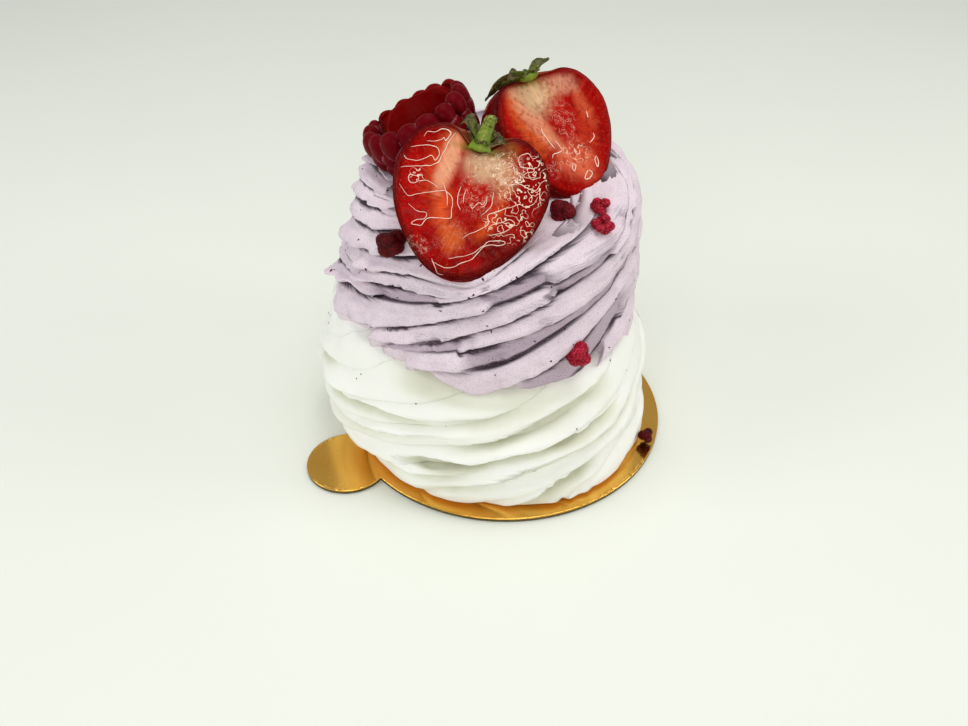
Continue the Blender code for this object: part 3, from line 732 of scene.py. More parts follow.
def recessShare(numbers, angles, ragged):
    # 1 where a ridge lies back, 0 elsewhere, changing over a few ragged degrees at each end
    degrees = np.degrees(np.angle(np.exp(1j * angles)))
    back = np.zeros(angles.shape)
    for number, start, end in cream["recessed"]:
        after = smoothStep(-2, 2, degrees - start + 4 * ragged)
        before = smoothStep(-2, 2, end - degrees + 4 * ragged)
        back = np.maximum(back, after * before * (numbers == number))
    return back


def grooveShade(inset, above, across, width, share, circle, facing):
    # how steeply the crest above closes a point in: depth behind that crest over distance below it
    millimetres = np.maximum(width, 3) * cream["lead"] / 360
    below = np.maximum((across - 0.1) * millimetres, 0.05)
    steep = (inset - above) / below * (1 + 0.35 * noise(circle, 0.7, 20) + 0.3 * noise(circle, 2.5, 21))
    closed = smoothStep(0.55, 1.2, steep) * smoothStep(0.25, 0.8, inset - above)
    closed = np.where(facing, closed, np.maximum(closed, smoothStep(0.5, 1.4, inset - above)))
    return closed * smoothStep(0.75, 0.98, share)


def creamGrid():
    # ridges wound round the profile by its own length, so that they curl inwards over the rim;
    # each ends below in a petal whose corner hangs lowest
    table = grooveTable()
    crossing = smoothPath(cream["crossing"], cream["columns"] + 1)[:-1]
    count = len(cream["grooves"])
    numbers = np.repeat(np.arange(count), cream["columns"])[None]
    across = np.tile(crossing[:, 0], count)[None]
    swell = np.tile(crossing[:, 1], count)[None]
    fine = smoothPath(cream["profile"], 400)
    lengths = np.concatenate(([0.0], np.cumsum(np.hypot(*np.diff(fine[:, :2], axis=0).T))))
    wallEnd = cream["wallEnd"]
    places = np.concatenate((np.linspace(0, wallEnd, cream["wallRows"], endpoint=False),
                             np.linspace(wallEnd, lengths[-1], cream["topRows"])))
    height, radius, share = (np.interp(places, lengths, fine[:, i])[:, None] for i in range(3))
    lowest = cream["profile"][0][0]
    fade = smoothStep(cream["petalHeight"], 0.0, places)[:, None]
    crestColumn = int(np.argmax(crossing[:, 1]))
    facing = np.tile(np.arange(len(crossing)) <= crestColumn, count)[None]
    ending = np.where(facing, np.clip(1 - across, 0, 1), (1 - swell) ** 2)
    lows = np.array(cream["ends"])
    between = np.clip((np.arange(len(crossing)) - crestColumn) / (len(crossing) - crestColumn), 0, 1)
    between = np.tile(between, count) ** 2
    ends = lows[numbers] * (1 - between) + lows[(numbers + 1) % count] * between
    drop = fade * (ends + cream["petalRise"] * ending)
    wound = lowest + places[:, None] + drop
    bent = height + drop
    numbers, across, swell, wound = np.broadcast_arrays(numbers, across, swell, wound)
    angles, width = creamAngles(table, numbers, across, wound)
    circle = stacked(36 * np.cos(angles), 36 * np.sin(angles), wound)
    narrow = np.clip(width / cream["fullWidth"], 0.12, 1.2)
    depth = cream["depth"] * share * unevenRidges(numbers, angles, cream["uneven"]) * narrow
    depth = depth * (1 + 0.25 * noise(circle, 10.0, 15))
    # tears: where a nozzle tooth dragged, the crest drops back in short ragged bites
    along = stacked(circle[..., 0], circle[..., 1], numbers * 7.0)
    bite = smoothStep(0.25, 0.7, noise(along, 3.0, 17)) * (0.6 + 0.4 * noise(circle, 0.9, 18))
    crest = smoothStep(0.62, 0.98, swell) * smoothStep(0.5, 0.8, across)
    back = recessShare(numbers, angles, noise(circle, 2.0, 19))
    plateau = np.where(across < 1, smoothStep(-0.1, 0.3, across) - 0.12 * across, 0.88 * swell)
    recessed = cream["recess"] * share + depth * 0.6 * (1 - plateau)
    inset = mixed(depth * (1 - swell), recessed, back * narrow)
    inset = inset + bite * crest * cream["bite"] * share
    # thin lips stand out from the crests, furthest on the left
    lip = smoothStep(0.45, 1.0, across) * smoothStep(0.7, 0.95, swell)
    lip = lip * smoothStep(0.0, 0.45, noise(along, 6.0, 37))
    left = smoothStep(0.35, 0.9, -np.cos(angles + 0.15))
    out, outLeft = cream["lips"]
    nick, nickLeft = cream["nicks"]
    inset = inset - lip * share * (out + outLeft * left) * (1 - 0.5 * bite)
    inset = inset + (nick + nickLeft * left) * crest * share * smoothStep(0.0, 0.5, noise(along, 1.3, 38))
    above = cream["recess"] * share * recessShare((numbers - 1) % count, angles, noise(circle, 2.0, 19))
    # painted shade: how dark each groove looks, kept as the sunk mask and turned near black by the cream's
    # finish
    shade = grooveShade(inset, above, across, width, share, circle, facing)
    level = creamLevel(bent, radius, angles)
    grid = placed(angles, radius - inset, level, bent)
    normals = surfaceNormals(grid, True)
    calm = np.clip(radius / 12, 0, 1)
    streaks = stacked(across * 9 + numbers * 9.0, wound / 4.0, 0.0)
    lumps = noise(grid, 3.6, 23) * 0.2 + noise(grid, 1.3, 24) * 0.1 + noise(grid, 0.6, 25) * 0.07
    grid = grid + normals * ((lumps + 0.17 * noise(streaks, 1.0, 33) * share) * calm)[..., None]
    # under the lip the cream sinks a little into the meringue's shoulder
    edge = grid[0]
    heights, xs, ys = zip(*piping["lean"])
    middle = np.array((np.interp(lowest, heights, xs), np.interp(lowest, heights, ys), 0.0))
    under = []
    for shrink, share in cream["under"]:
        ring = middle + (edge - middle) * (shrink, shrink, 1.0)
        ring[:, 2] = mixed(edge[:, 2], shoulderLevel(ring - middle) - 0.5, share)
        under.append(ring)
    under.append(np.broadcast_to(np.mean(under[-1], axis=0), edge.shape))
    whole = np.concatenate((np.array(under[::-1]), grid))
    plain = np.zeros((len(under), grid.shape[1]))
    return whole, np.concatenate((plain, shade)), np.concatenate((plain, back)), len(under)


def whippedCream():
    # patchy lilac, with painted shade: greyer where a ridge lies back under the one above, near black in the
    # grooves; with berry grains
    material, tree, shader = startMaterial("whippedCream", Roughness=0.62, Subsurface_Weight=0.12,
                                           Subsurface_Scale=0.8 * mm, Subsurface_Radius=(1.0, 0.7, 0.8))
    sunk = attribute(tree, "sunk")
    back = attribute(tree, "back")
    lit = blendColours(tree, rangeOf(tree, objectNoise(tree, 5.0, 3.0), 0.35, 0.7, 0.0, 0.6),
                       (0.82, 0.70, 0.775), (0.69, 0.575, 0.655))
    # painted shade: ridges that lie back under the one above are painted greyer
    lit = blendColours(tree, back, lit, (0.52, 0.41, 0.49))
    # painted shade: near black where the sunk mask says a groove is closed in under the crest above
    base = blendColours(tree, sunk, lit, (0.035, 0.014, 0.026))
    grain = objectNoise(tree, 0.24, 2.0, 0.7)
    grainShare = rangeOf(tree, back, 0.0, 1.0, 0.5, 1.0)
    grains = multiplied(tree, rangeOf(tree, grain, 0.55, 0.68), grainShare)
    base = blendColours(tree, grains, base, (0.24, 0.16, 0.23))
    berry = objectNoise(tree, 0.5, 2.0, 0.6)
    base = blendColours(tree, rangeOf(tree, berry, 0.70, 0.76, 0.0, 0.8), base, (0.14, 0.07, 0.12))
    wire(tree, shader, base, [(objectNoise(tree, 1.1, 3.0), 0.15, 0.4), (grain, 0.08, 0.5)])
    return material


# distance from the tip and half width, as shares; the last four are moved by each berry's dimple
berryProfile = ((0.0, 0.0), (0.012, 0.16), (0.054, 0.36), (0.12, 0.52), (0.2, 0.66), (0.31, 0.81),
                (0.43, 0.92), (0.55, 0.98), (0.66, 1.0), (0.77, 0.955), (0.87, 0.86), (0.95, 0.72),
                (1.0, 0.52), (1.0, 0.33), (1.0, 0.14), (1.0, 0.0))


def berryHalf(berry, count):
    # half the outline from tip to dimple, in millimetres
    length = berryAxes(berry)[0]
    sunk = (0,) * 13 + (0.1, 0.75, 1.0)
    nodes = [(share * berry["width"] / 2, (distance - berry["dimple"] * low) * length)
             for (distance, share), low in zip(berryProfile, sunk)]
    return smoothPath(nodes, count)


frontBerry = {
    "name": "strawberryFront",
    "node": "strawberry_front",
    "tip": (-12.0, -27.4, 58.2),
    "top": (-5.2, -9.6, 83.2),
    "face": (0.02, -0.80, 0.57),
    "width": 33.0,
    "thickness": 14.0,
    "lean": 0.0,  # how far the back leans to the left
    "dimple": 0.125,  # how far the middle of the top lies below its shoulders, as a share of the length
    "seed": 40,
    # how far the cut face lies inside the widest outline: least, most, and where most
    "inset": (0.35, 1.1, math.radians(-50)),
    "flesh": (0.33, 0.0, 0.0),
    "rim": (0.11, 0.0, 0.0),
    # zones of the cut face, laid over each other: across (-1 to 1), along (0 to 1), half sizes,
    # slant in degrees, colour and strength
    "zones": (
        (-0.66, 0.52, 0.22, 0.24, 0, (0.40, 0.002, 0.002), 0.7),
        (0.75, 0.60, 0.26, 0.36, 0, (0.25, 0.0, 0.0), 0.8),
        (0.50, 0.22, 0.42, 0.13, -25, (0.13, 0.0, 0.0), 0.9),
        (-0.05, 0.06, 0.4, 0.1, 0, (0.24, 0.0, 0.0), 0.9),
        (-0.27, 0.91, 0.16, 0.08, 0, (0.52, 0.13, 0.05), 0.8),
        (-0.42, 0.66, 0.17, 0.22, 0, (0.56, 0.05, 0.01), 0.85),
        (-0.27, 0.45, 0.15, 0.11, 0, (0.72, 0.09, 0.02), 0.9),
        (-0.10, 0.30, 0.15, 0.11, 12, (0.60, 0.10, 0.02), 0.9),
        (0.31, 0.49, 0.11, 0.21, -22, (0.72, 0.10, 0.015), 0.9),
        (-0.34, 0.74, 0.11, 0.19, -12, (0.80, 0.34, 0.19), 0.95),
        (0.09, 0.57, 0.30, 0.21, 0, (0.42, 0.006, 0.003), 1.0),
        (0.06, 0.43, 0.2, 0.08, 0, (0.34, 0.003, 0.002), 0.8),
        (0.37, 0.73, 0.17, 0.12, 0, (0.60, 0.26, 0.13), 0.8),
        (0.11, 0.78, 0.26, 0.1, 0, (0.64, 0.39, 0.22), 0.95),
        (0.05, 0.872, 0.3, 0.03, 0, (0.20, 0.15, 0.01), 0.95),
        (0.34, 0.93, 0.16, 0.06, 0, (0.27, 0.09, 0.02), 0.8),
    ),
    # edges of the glaze, as places across and along the cut face; threads along them are painted pale as
    # highlights
    "glaze": (
        ((-0.87, 0.55), (-0.75, 0.49), (-0.60, 0.51), (-0.35, 0.56), (-0.28, 0.56), (-0.20, 0.52),
         (-0.16, 0.42), (-0.20, 0.40), (-0.44, 0.37), (-0.51, 0.31), (-0.61, 0.31), (-0.61, 0.33),
         (-0.49, 0.36), (-0.47, 0.40), (-0.60, 0.40), (-0.72, 0.44)),
        ((-0.29, 0.10), (-0.09, 0.08), (0.08, 0.13), (0.19, 0.17), (0.27, 0.23), (0.34, 0.28), (0.53, 0.30),
         (0.55, 0.33), (0.36, 0.31), (0.30, 0.27), (0.20, 0.21), (0.10, 0.18), (-0.10, 0.14)),
        ((-0.30, 0.12), (-0.20, 0.05), (-0.10, 0.03)),
        ((0.02, 0.29), (0.21, 0.37), (0.31, 0.42), (0.27, 0.47), (0.35, 0.50), (0.49, 0.54), (0.61, 0.58),
         (0.72, 0.58), (0.80, 0.61), (0.83, 0.66)),
        ((0.31, 0.36), (0.33, 0.41), (0.44, 0.44), (0.55, 0.47), (0.62, 0.45), (0.50, 0.38), (0.40, 0.36),
         (0.33, 0.34)),
        ((0.73, 0.92), (0.67, 0.89), (0.60, 0.92), (0.50, 0.88), (0.54, 0.83), (0.61, 0.82), (0.71, 0.83),
         (0.71, 0.81), (0.63, 0.79), (0.62, 0.76), (0.77, 0.78)),
        ((0.42, 0.69), (0.57, 0.71), (0.65, 0.70), (0.72, 0.69), (0.80, 0.70), (0.83, 0.75), (0.90, 0.78)),
        ((0.90, 0.60), (0.85, 0.66), (0.84, 0.72)),
        ((-0.90, 0.74), (-0.83, 0.71), (-0.70, 0.72), (-0.61, 0.75), (-0.56, 0.77), (-0.51, 0.74),
         (-0.47, 0.79), (-0.53, 0.83), (-0.68, 0.82), (-0.84, 0.79)),
        ((-0.90, 0.65), (-0.80, 0.67), (-0.62, 0.69), (-0.47, 0.74), (-0.40, 0.84), (-0.32, 0.95)),
        ((-0.61, 0.63), (-0.75, 0.62), (-0.79, 0.60), (-0.73, 0.57), (-0.55, 0.60), (-0.38, 0.58)),
        ((-0.70, 0.87), (-0.67, 0.91), (-0.58, 0.92), (-0.50, 0.95), (-0.42, 0.95), (-0.38, 0.93),
         (-0.42, 0.88), (-0.46, 0.90), (-0.48, 0.88), (-0.56, 0.86), (-0.66, 0.85)),
        ((-0.36, 0.62), (-0.28, 0.55), (-0.24, 0.47)),
        ((-0.12, 0.62), (-0.14, 0.56), (-0.12, 0.50), (-0.07, 0.46)),
        ((0.28, 0.63), (0.30, 0.57), (0.27, 0.51), (0.20, 0.46)),
        ((-0.05, 0.61), (-0.07, 0.56), (-0.05, 0.51)),
        ((0.21, 0.60), (0.22, 0.55), (0.18, 0.51)),
        ((0.02, 0.52), (0.08, 0.49), (0.13, 0.54), (0.18, 0.53), (0.21, 0.57)),
    ),
    # small curls of painted highlight on the glaze: kind, middle across and along, half sizes, strength
    "curls": (("close", 0.38, 0.79, 0.26, 0.11, 0.9), ("close", 0.10, 0.80, 0.22, 0.08, 0.45),
              ("close", 0.10, 0.60, 0.24, 0.16, 0.28), ("close", -0.12, 0.28, 0.25, 0.12, 0.13),
              ("close", -0.50, 0.19, 0.17, 0.06, 0.3), ("close", -0.33, 0.74, 0.12, 0.12, 0.15),
              ("open", 0.70, 0.72, 0.22, 0.2, 1.0), ("open", 0.56, 0.44, 0.32, 0.12, 0.9),
              ("open", 0.44, 0.66, 0.12, 0.08, 0.8), ("open", -0.68, 0.625, 0.1, 0.05, 0.9)),
    "glazeWidth": 0.085,
}

rearBerry = {
    "name": "strawberryRear",
    "node": "strawberry_rear",
    "tip": (18.0, -1.2, 63.6),
    "top": (6.6, 15.0, 85.0),
    "face": (0.27, -0.62, 0.74),
    "width": 28.0,
    "thickness": 12.5,
    "lean": 7.5,
    "dimple": -0.01,
    "seed": 60,
    "inset": (0.4, 1.2, math.radians(180)),
    "flesh": (0.34, 0.0, 0.0),
    "rim": (0.2, 0.0, 0.0),
    "zones": (
        (0.66, 0.94, 0.5, 0.14, 0, (0.23, 0.0, 0.0), 1.0),
        (0.72, 0.45, 0.2, 0.4, 0, (0.31, 0.0, 0.0), 0.7),
        (-0.78, 0.84, 0.17, 0.2, 0, (0.50, 0.004, 0.001), 0.9),
        (-0.58, 0.78, 0.16, 0.2, 0, (0.62, 0.09, 0.02), 0.9),
        (-0.42, 0.54, 0.17, 0.13, 0, (0.60, 0.09, 0.02), 0.85),
        (0.06, 0.29, 0.34, 0.16, -10, (0.68, 0.13, 0.06), 0.9),
        (0.54, 0.64, 0.12, 0.18, 10, (0.56, 0.08, 0.03), 0.85),
        (0.42, 0.48, 0.15, 0.13, 0, (0.48, 0.03, 0.01), 0.8),
        (-0.30, 0.60, 0.13, 0.25, 33, (0.72, 0.26, 0.14), 0.9),
        (0.33, 0.86, 0.28, 0.08, -10, (0.60, 0.24, 0.15), 0.85),
        (-0.19, 0.85, 0.36, 0.16, -8, (0.62, 0.40, 0.22), 0.95),
        (0.12, 0.60, 0.24, 0.19, -10, (0.42, 0.006, 0.003), 1.0),
        (-0.18, 0.965, 0.24, 0.04, 0, (0.34, 0.28, 0.06), 0.8),
    ),
    "glaze": (
        ((-0.29, 0.62), (-0.31, 0.56), (-0.26, 0.48), (-0.22, 0.42)),
        ((-0.16, 0.48), (-0.13, 0.43), (-0.12, 0.39), (-0.20, 0.385), (-0.29, 0.38), (-0.33, 0.35)),
        ((0.10, 0.38), (0.09, 0.335), (0.15, 0.32), (0.18, 0.35)),
        ((-0.02, 0.27), (-0.06, 0.24), (-0.05, 0.21), (0.0, 0.24), (-0.02, 0.27)),
        ((0.18, 0.18), (0.23, 0.15), (0.14, 0.12), (0.07, 0.13), (0.11, 0.16), (0.18, 0.18)),
        ((0.40, 0.27), (0.41, 0.22), (0.36, 0.18), (0.35, 0.23), (0.40, 0.27)),
        ((0.53, 0.44), (0.49, 0.40), (0.38, 0.37)),
        ((0.56, 0.61), (0.53, 0.56)),
    ),
    "curls": (("close", 0.12, 0.60, 0.22, 0.18, 0.26), ("close", -0.38, 0.27, 0.15, 0.07, 0.4),
              ("close", -0.10, 0.82, 0.25, 0.1, 0.15), ("open", 0.05, 0.33, 0.3, 0.1, 0.5)),
    "glazeWidth": 0.13,
}


def berryAxes(berry):
    # unit vectors along the berry, out of its cut face and to its right, and its length
    along = np.subtract(berry["top"], berry["tip"])
    length = np.linalg.norm(along)
    along = along / length
    outward = np.asarray(berry["face"], dtype=float)
    outward = unit(outward - along * np.dot(outward, along))
    return length, along, outward, np.cross(along, outward)


def fleshColours(berry, x, y, depth, angle):
    # colour at each point of a cut face: soft-edged zones over the flesh, fibres, grain, a red margin
    local = stacked(x * 16, y * 28, berry["seed"] * 1.7)
    seed = berry["seed"]
    colour = np.broadcast_to(berry["flesh"], x.shape + (3,))
    fibres = noise(stacked(angle * 9, depth * 1.4, 0.0), 1.0, seed + 2)
    ragged = 0.16 * noise(local, 3.0, seed) + 0.10 * noise(local, 1.0, seed + 1) + 0.12 * fibres
    for number, (middleX, middleY, halfX, halfY, slant, tint, strength) in enumerate(berry["zones"]):
        cosine, sine = math.cos(math.radians(slant)), math.sin(math.radians(slant))
        across, along = x - middleX, (y - middleY) * 1.6
        reach = np.hypot((across * cosine + along * sine) / halfX,
                         (along * cosine - across * sine) / halfY / 1.6)
        share = smoothStep(1.5, 0.4, reach + ragged + 0.08 * noise(local, 2.0, seed + 30 + number))
        colour = mixed(colour, tint, share * strength)
    # short streaks run outwards from the middle
    streaks = smoothStep(0.25, 0.8, noise(stacked(angle * 26, depth * 3.0, 0.0), 1.0, seed + 3))
    colour = mixed(colour, np.minimum(colour * 1.35 + (0.05, 0.012, 0.004), 1.0), streaks * 0.5)
    cells = smoothStep(0.1, 0.7, noise(local, 0.6, seed + 6) + 0.5 * noise(local, 2.2, seed + 7))
    colour = mixed(colour, colour * (0.62, 0.35, 0.35), cells * 0.6)
    margin = smoothStep(0.86, 1.0, depth + 0.03 * noise(local, 3.0, seed + 4))
    return mixed(colour, berry["rim"], margin)


def highlightCurlShares(berry, x, y):
    # where the small curls of painted glaze highlight lie: soft ellipses, for the close kind and the open
    # kind
    shares = {"close": np.zeros(x.shape), "open": np.zeros(x.shape)}
    for kind, middleX, middleY, halfX, halfY, strength in berry["curls"]:
        reach = np.hypot((x - middleX) / halfX, (y - middleY) / halfY)
        shares[kind] = np.maximum(shares[kind], strength * smoothStep(1.2, 0.7, reach))
    return shares


def glazeEdges(berry, rise, flat):
    # round threads laid on the cut face: each follows its path at the height of the nearest face point
    length, along, outward, right = berryAxes(berry)
    scale = np.array((berry["width"] / 2, length))
    rng = np.random.default_rng(berry["seed"] + 6)
    flatPoints, flatRise = flat.reshape(-1, 2), rise.ravel()
    grids = []
    around = np.linspace(0, turn, 6, endpoint=False)
    for places in berry["glaze"]:
        rough = np.array(places) * scale
        reach = np.sum(np.linalg.norm(np.diff(rough, axis=0), axis=1))
        path = smoothPath(rough, max(8, int(reach / 0.3)))
        spot = stacked(path[:, 0], path[:, 1], rng.uniform(0, 9))
        path = path + 0.22 * stacked(noise(spot, 1.3, 91), noise(spot, 1.3, 92))
        nearest = np.argmin(np.linalg.norm(path[:, None] - flatPoints[None, ::3], axis=-1), axis=1)
        height = flatRise[::3][nearest]
        step = unit(np.gradient(path, axis=0))
        side = stacked(-step[:, 1], step[:, 0])
        ends = np.sin(np.linspace(0.02, math.pi - 0.02, len(path))) ** 0.3
        radius = berry["glazeWidth"] * ends * (0.85 + 0.45 * np.maximum(0, noise(spot, 1.1, 93)))
        radius[[0, -1]] = 0
        x = path[:, :1] + side[:, :1] * radius[:, None] * np.cos(around)
        y = path[:, 1:] + side[:, 1:] * radius[:, None] * np.cos(around)
        z = height[:, None] + 0.02 + 0.7 * radius[:, None] * np.sin(around)
        grids.append(np.array(berry["tip"]) + x[..., None] * right + y[..., None] * along
                     + z[..., None] * outward)
    return grids


def berryGrids(berry):
    # a cut face in rings round its middle, and the skin from edge to edge round the back
    length, along, outward, right = berryAxes(berry)
    half = berryHalf(berry, 241)
    outline = np.concatenate((half, half[-2:0:-1] * (-1, 1)))  # up the right side, down the left
    middle = np.array((0.0, 0.5 * length))
    spokes = outline - middle
    angle = np.arctan2(spokes[:, 1], spokes[:, 0])
    least, most, where = berry["inset"]
    inset = least + (most - least) * np.exp(-(np.angle(np.exp(1j * (angle - where))) / 0.75) ** 2)
    inset = np.minimum(inset, 0.3 * np.linalg.norm(spokes, axis=1))
    rim = middle + spokes * (1 - inset / np.linalg.norm(spokes, axis=1))[:, None]
    depth = 1 - (1 - np.linspace(0.0, 1.0, 120)) ** 1.2
    flat = middle + (rim - middle)[None] * depth[:, None, None]
    x = flat[..., 0] / (berry["width"] / 2)
    y = flat[..., 1] / length
    rings = np.broadcast_to(depth[:, None], x.shape)
    turnAngle = np.broadcast_to(angle[None], x.shape)
    colour = fleshColours(berry, x, y, rings, turnAngle)
    shares = highlightCurlShares(berry, x, y)
    local = stacked(flat[..., 0], flat[..., 1], 0.0)
    rise = 0.16 * noise(local, 5.0, berry["seed"] + 11) + 0.05 * noise(local, 0.9, berry["seed"] + 12)
    rise -= 0.7 * smoothStep(0.9, 1.0, rings) ** 2 - 0.35
    rise = rise * smoothStep(0.0, 0.04, rings) - 0.5
    origin = np.array(berry["tip"])
    face = origin + flat[..., 0, None] * right + flat[..., 1, None] * along + rise[..., None] * outward
    # the skin: for each step up the outline an arc from its right point round the back to its left
    count = len(half)
    sweep = np.linspace(0.0, math.pi, 96)
    widths, steps = half[:, 0][:, None], half[:, 1][:, None]
    skinX = widths * (np.cos(sweep) - berry["lean"] / (berry["width"] / 2) * np.sin(sweep))
    back = -np.sin(sweep) * widths / (berry["width"] / 2) * berry["thickness"]
    skin = (origin + skinX[..., None] * right + np.broadcast_to(steps, skinX.shape)[..., None] * along
            + back[..., None] * outward)
    # near the cut the skin bulges past the face's edge, then meets it
    edgeRight = face[-1, :count]
    edgeLeft = np.concatenate((face[-1, :1], face[-1, :count - 1:-1], face[-1, count - 1:count]))
    near = smoothStep(0.36, 0.0, sweep)[None, :, None] ** 1.5
    far = smoothStep(math.pi - 0.36, math.pi, sweep)[None, :, None] ** 1.5
    normals = surfaceNormals(skin, False)
    away = np.sign(np.sum(normals * (skin - np.mean(skin, axis=(0, 1))), axis=-1, keepdims=True))
    normals = normals * np.where(away == 0, 1, away)
    pits, seeds = seedPattern(skin, normals, sweep, steps[:, 0] / length)
    skin = skin - normals * (pits * (1 - near[..., 0]) * (1 - far[..., 0]))[..., None]
    skin = skin * (1 - near) + edgeRight[:, None] * near
    skin = skin * (1 - far) + edgeLeft[:, None] * far
    skinColour = skinColours(berry, skin, steps / length, widths / (berry["width"] / 2), pits)
    return (face, colour, shares), (skin, skinColour), seeds, glazeEdges(berry, rise, flat)


def seedPattern(skin, normals, sweep, heights):
    # seeds in slanting rows over the skin: each sits in a smooth pit
    pits = np.zeros(skin.shape[:2])
    seeds = []
    for row, height in enumerate(np.arange(0.12, 0.95, 0.088)):
        width = np.interp(height, [d for d, s in berryProfile[:-3]], [s for d, s in berryProfile[:-3]])
        count = max(3, round(9.5 * width))
        for place in (np.arange(count) + 0.5 * (row % 2) + 0.3) / count:
            if place > 0.96 or place < 0.04:
                continue
            r = int(np.argmin(np.abs(heights[:200] - height)))
            c = int(round(place * (len(sweep) - 1)))
            gapTo = np.linalg.norm(skin - skin[r, c], axis=-1)
            pits = np.maximum(pits, 0.42 * np.exp(-(gapTo / 0.85) ** 2))
            seeds.append((skin[r, c] - normals[r, c] * 0.36, normals[r, c]))
    return pits, seeds


def skinColours(berry, skin, heights, widths, pits):
    # deep red, paler under the calyx, darker between the seeds, and near black along the cut edges as painted
    # shade
    slow = noise(skin, 7.0, berry["seed"] + 20)
    red = mixed((0.30, 0.004, 0.004), (0.20, 0.002, 0.003), smoothStep(-0.5, 0.6, slow))
    pale = smoothStep(0.62, 0.2, widths + 0.12 * slow) * (heights > 0.5)
    red = mixed(red, (0.50, 0.16, 0.06), 0.6 * pale)
    red = mixed(red, (0.36, 0.02, 0.008), np.clip(pits * 2, 0, 1))
    sweep = np.linspace(0.0, math.pi, slow.shape[1])
    # painted shade: the skin turns near black towards the cut edges
    edge = smoothStep(0.5, 0.1, np.minimum(sweep, math.pi - sweep)) * (1 - pale)
    return mixed(red, (0.07, 0.0, 0.001), edge)


def contours(tree, value, count, half, share):
    # thin lines where value * count passes a whole number and a half, as strong as the share
    steps = multiplied(tree, value, count)
    part = addNode(tree, "Math", {0: steps}, operation="FRACT").outputs[0]
    away = multiplied(tree, part, 0.5, "SUBTRACT")
    away = addNode(tree, "Math", {0: away}, operation="ABSOLUTE").outputs[0]
    return multiplied(tree, rangeOf(tree, away, 0.3 * half, half, 1.0, 0.0), share)


def berryFlesh():
    # the colours stored at the points, fine pale and dark grain, and curls of painted highlight on the glaze
    material, tree, shader = startMaterial("berryFlesh", Roughness=0.35, Coat_Weight=0.03,
                                           Coat_Roughness=0.1, Subsurface_Weight=0.08,
                                           Subsurface_Scale=0.5 * mm, Specular_IOR_Level=0.04,
                                           Subsurface_Radius=(1.0, 0.25, 0.15))
    base = attribute(tree, "flesh", "Color")
    fine = objectNoise(tree, 0.3, 3.0, 0.65)
    base = blendColours(tree, rangeOf(tree, fine, 0.58, 0.72, 0.0, 0.16), base, (0.9, 0.38, 0.22))
    base = blendColours(tree, rangeOf(tree, fine, 0.42, 0.25, 0.0, 0.3), base, (0.14, 0.0, 0.0))
    close = contours(tree, objectNoise(tree, 1.1, 1.0, 0.5, distortion=0.5), 7.0, 0.24,
                     attribute(tree, "closeHighlightCurls"))
    close = multiplied(tree, close, rangeOf(tree, objectNoise(tree, 1.1), 0.42, 0.56))
    wide = contours(tree, objectNoise(tree, 2.6, 2.0, 0.5), 6.5, 0.1, attribute(tree, "openHighlightCurls"))
    # painted highlight: pale contour lines inside the curls, where the wet glaze would shine
    base = blendColours(tree, multiplied(tree, close, wide, "MAXIMUM"), base, (1.0, 0.78, 0.6))
    wire(tree, shader, base, [(objectNoise(tree, 0.9, 3.0), 0.06, 0.25), (fine, 0.03, 0.3)],
         rangeOf(tree, objectNoise(tree, 1.2), 0.3, 0.7, 0.2, 0.4))
    return material


def glazeHighlightFinish():
    # pale pink threads on the glaze's raised edges, a painted highlight, with a wet shine
    material, tree, shader = startMaterial("glaze", Roughness=0.15, Coat_Weight=0.4, Coat_Roughness=0.05)
    tint = ramp(tree, objectNoise(tree, 2.0), ((0.35, (0.97, 0.55, 0.42)), (0.65, (1.0, 0.86, 0.72))))
    wire(tree, shader, tint, [(objectNoise(tree, 0.3), 0.02, 0.3)])
    return material


def berrySeed():
    # straw yellow to brown
    material, tree, shader = startMaterial("berrySeed", Roughness=0.35)
    tint = ramp(tree, objectNoise(tree, 1.5), ((0.35, (0.50, 0.26, 0.05)), (0.65, (0.66, 0.44, 0.12))))
    wire(tree, shader, tint, [(objectNoise(tree, 0.3), 0.03, 0.4)])
    return material


def turnedAbout(normals, spins):
    # two unit vectors square to each normal, turned by a spin
    side = unit(np.cross(normals, (0.31, 0.9, 0.27)))
    other = np.cross(normals, side)
    cosine, sine = np.cos(spins)[:, None], np.sin(spins)[:, None]
    return side * cosine + other * sine, other * cosine - side * sine


def pebbles(centres, normals, sizes, spins, rows=5, columns=8):
    # small ellipsoids: points = centre + long * cos + wide * sin round each, and up along the normal
    long, wide = turnedAbout(normals, spins)
    slant = np.linspace(0, math.pi, rows)
    around = np.linspace(0, turn, columns, endpoint=False)
    ball = stacked(np.sin(slant)[:, None] * np.cos(around), np.sin(slant)[:, None] * np.sin(around),
                   np.cos(slant)[:, None])
    frames = np.stack((long * sizes[:, :1], wide * sizes[:, 1:2], normals * sizes[:, 2:]), axis=1)
    return centres[:, None, None] + np.einsum("rck,nkj->nrcj", ball, frames)


def makeBerry(berry, flesh, seedFinish, glaze):
    # the cut face and skin as one piece, then its seeds and its threads of glaze, painted pale as highlights
    (face, colour, shares), (skin, skinColour), seeds, threads = berryGrids(berry)
    bare = np.zeros(skin.shape[:2])
    piece = addPiece(berry["name"], [(face, True), (skin, False)], flesh,
                     masks={"closeHighlightCurls": [shares["close"], bare], "openHighlightCurls": [shares["open"], bare]},
                     colours={"flesh": [colour, skinColour]})
    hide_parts(berry["node"])
    centres = np.array([place for place, normal in seeds])
    normals = np.array([normal for place, normal in seeds])
    rng = np.random.default_rng(berry["seed"])
    sizes = np.tile((0.72, 0.45, 0.26), (len(centres), 1)) * rng.uniform(0.85, 1.1, (len(centres), 1))
    grids = pebbles(centres, normals, sizes, rng.uniform(0, turn, len(centres)))
    addPiece(berry["name"] + "Seeds", [(grid, True) for grid in grids], seedFinish)
    addPiece(berry["name"] + "Glaze", [(grid, True) for grid in threads], glaze)


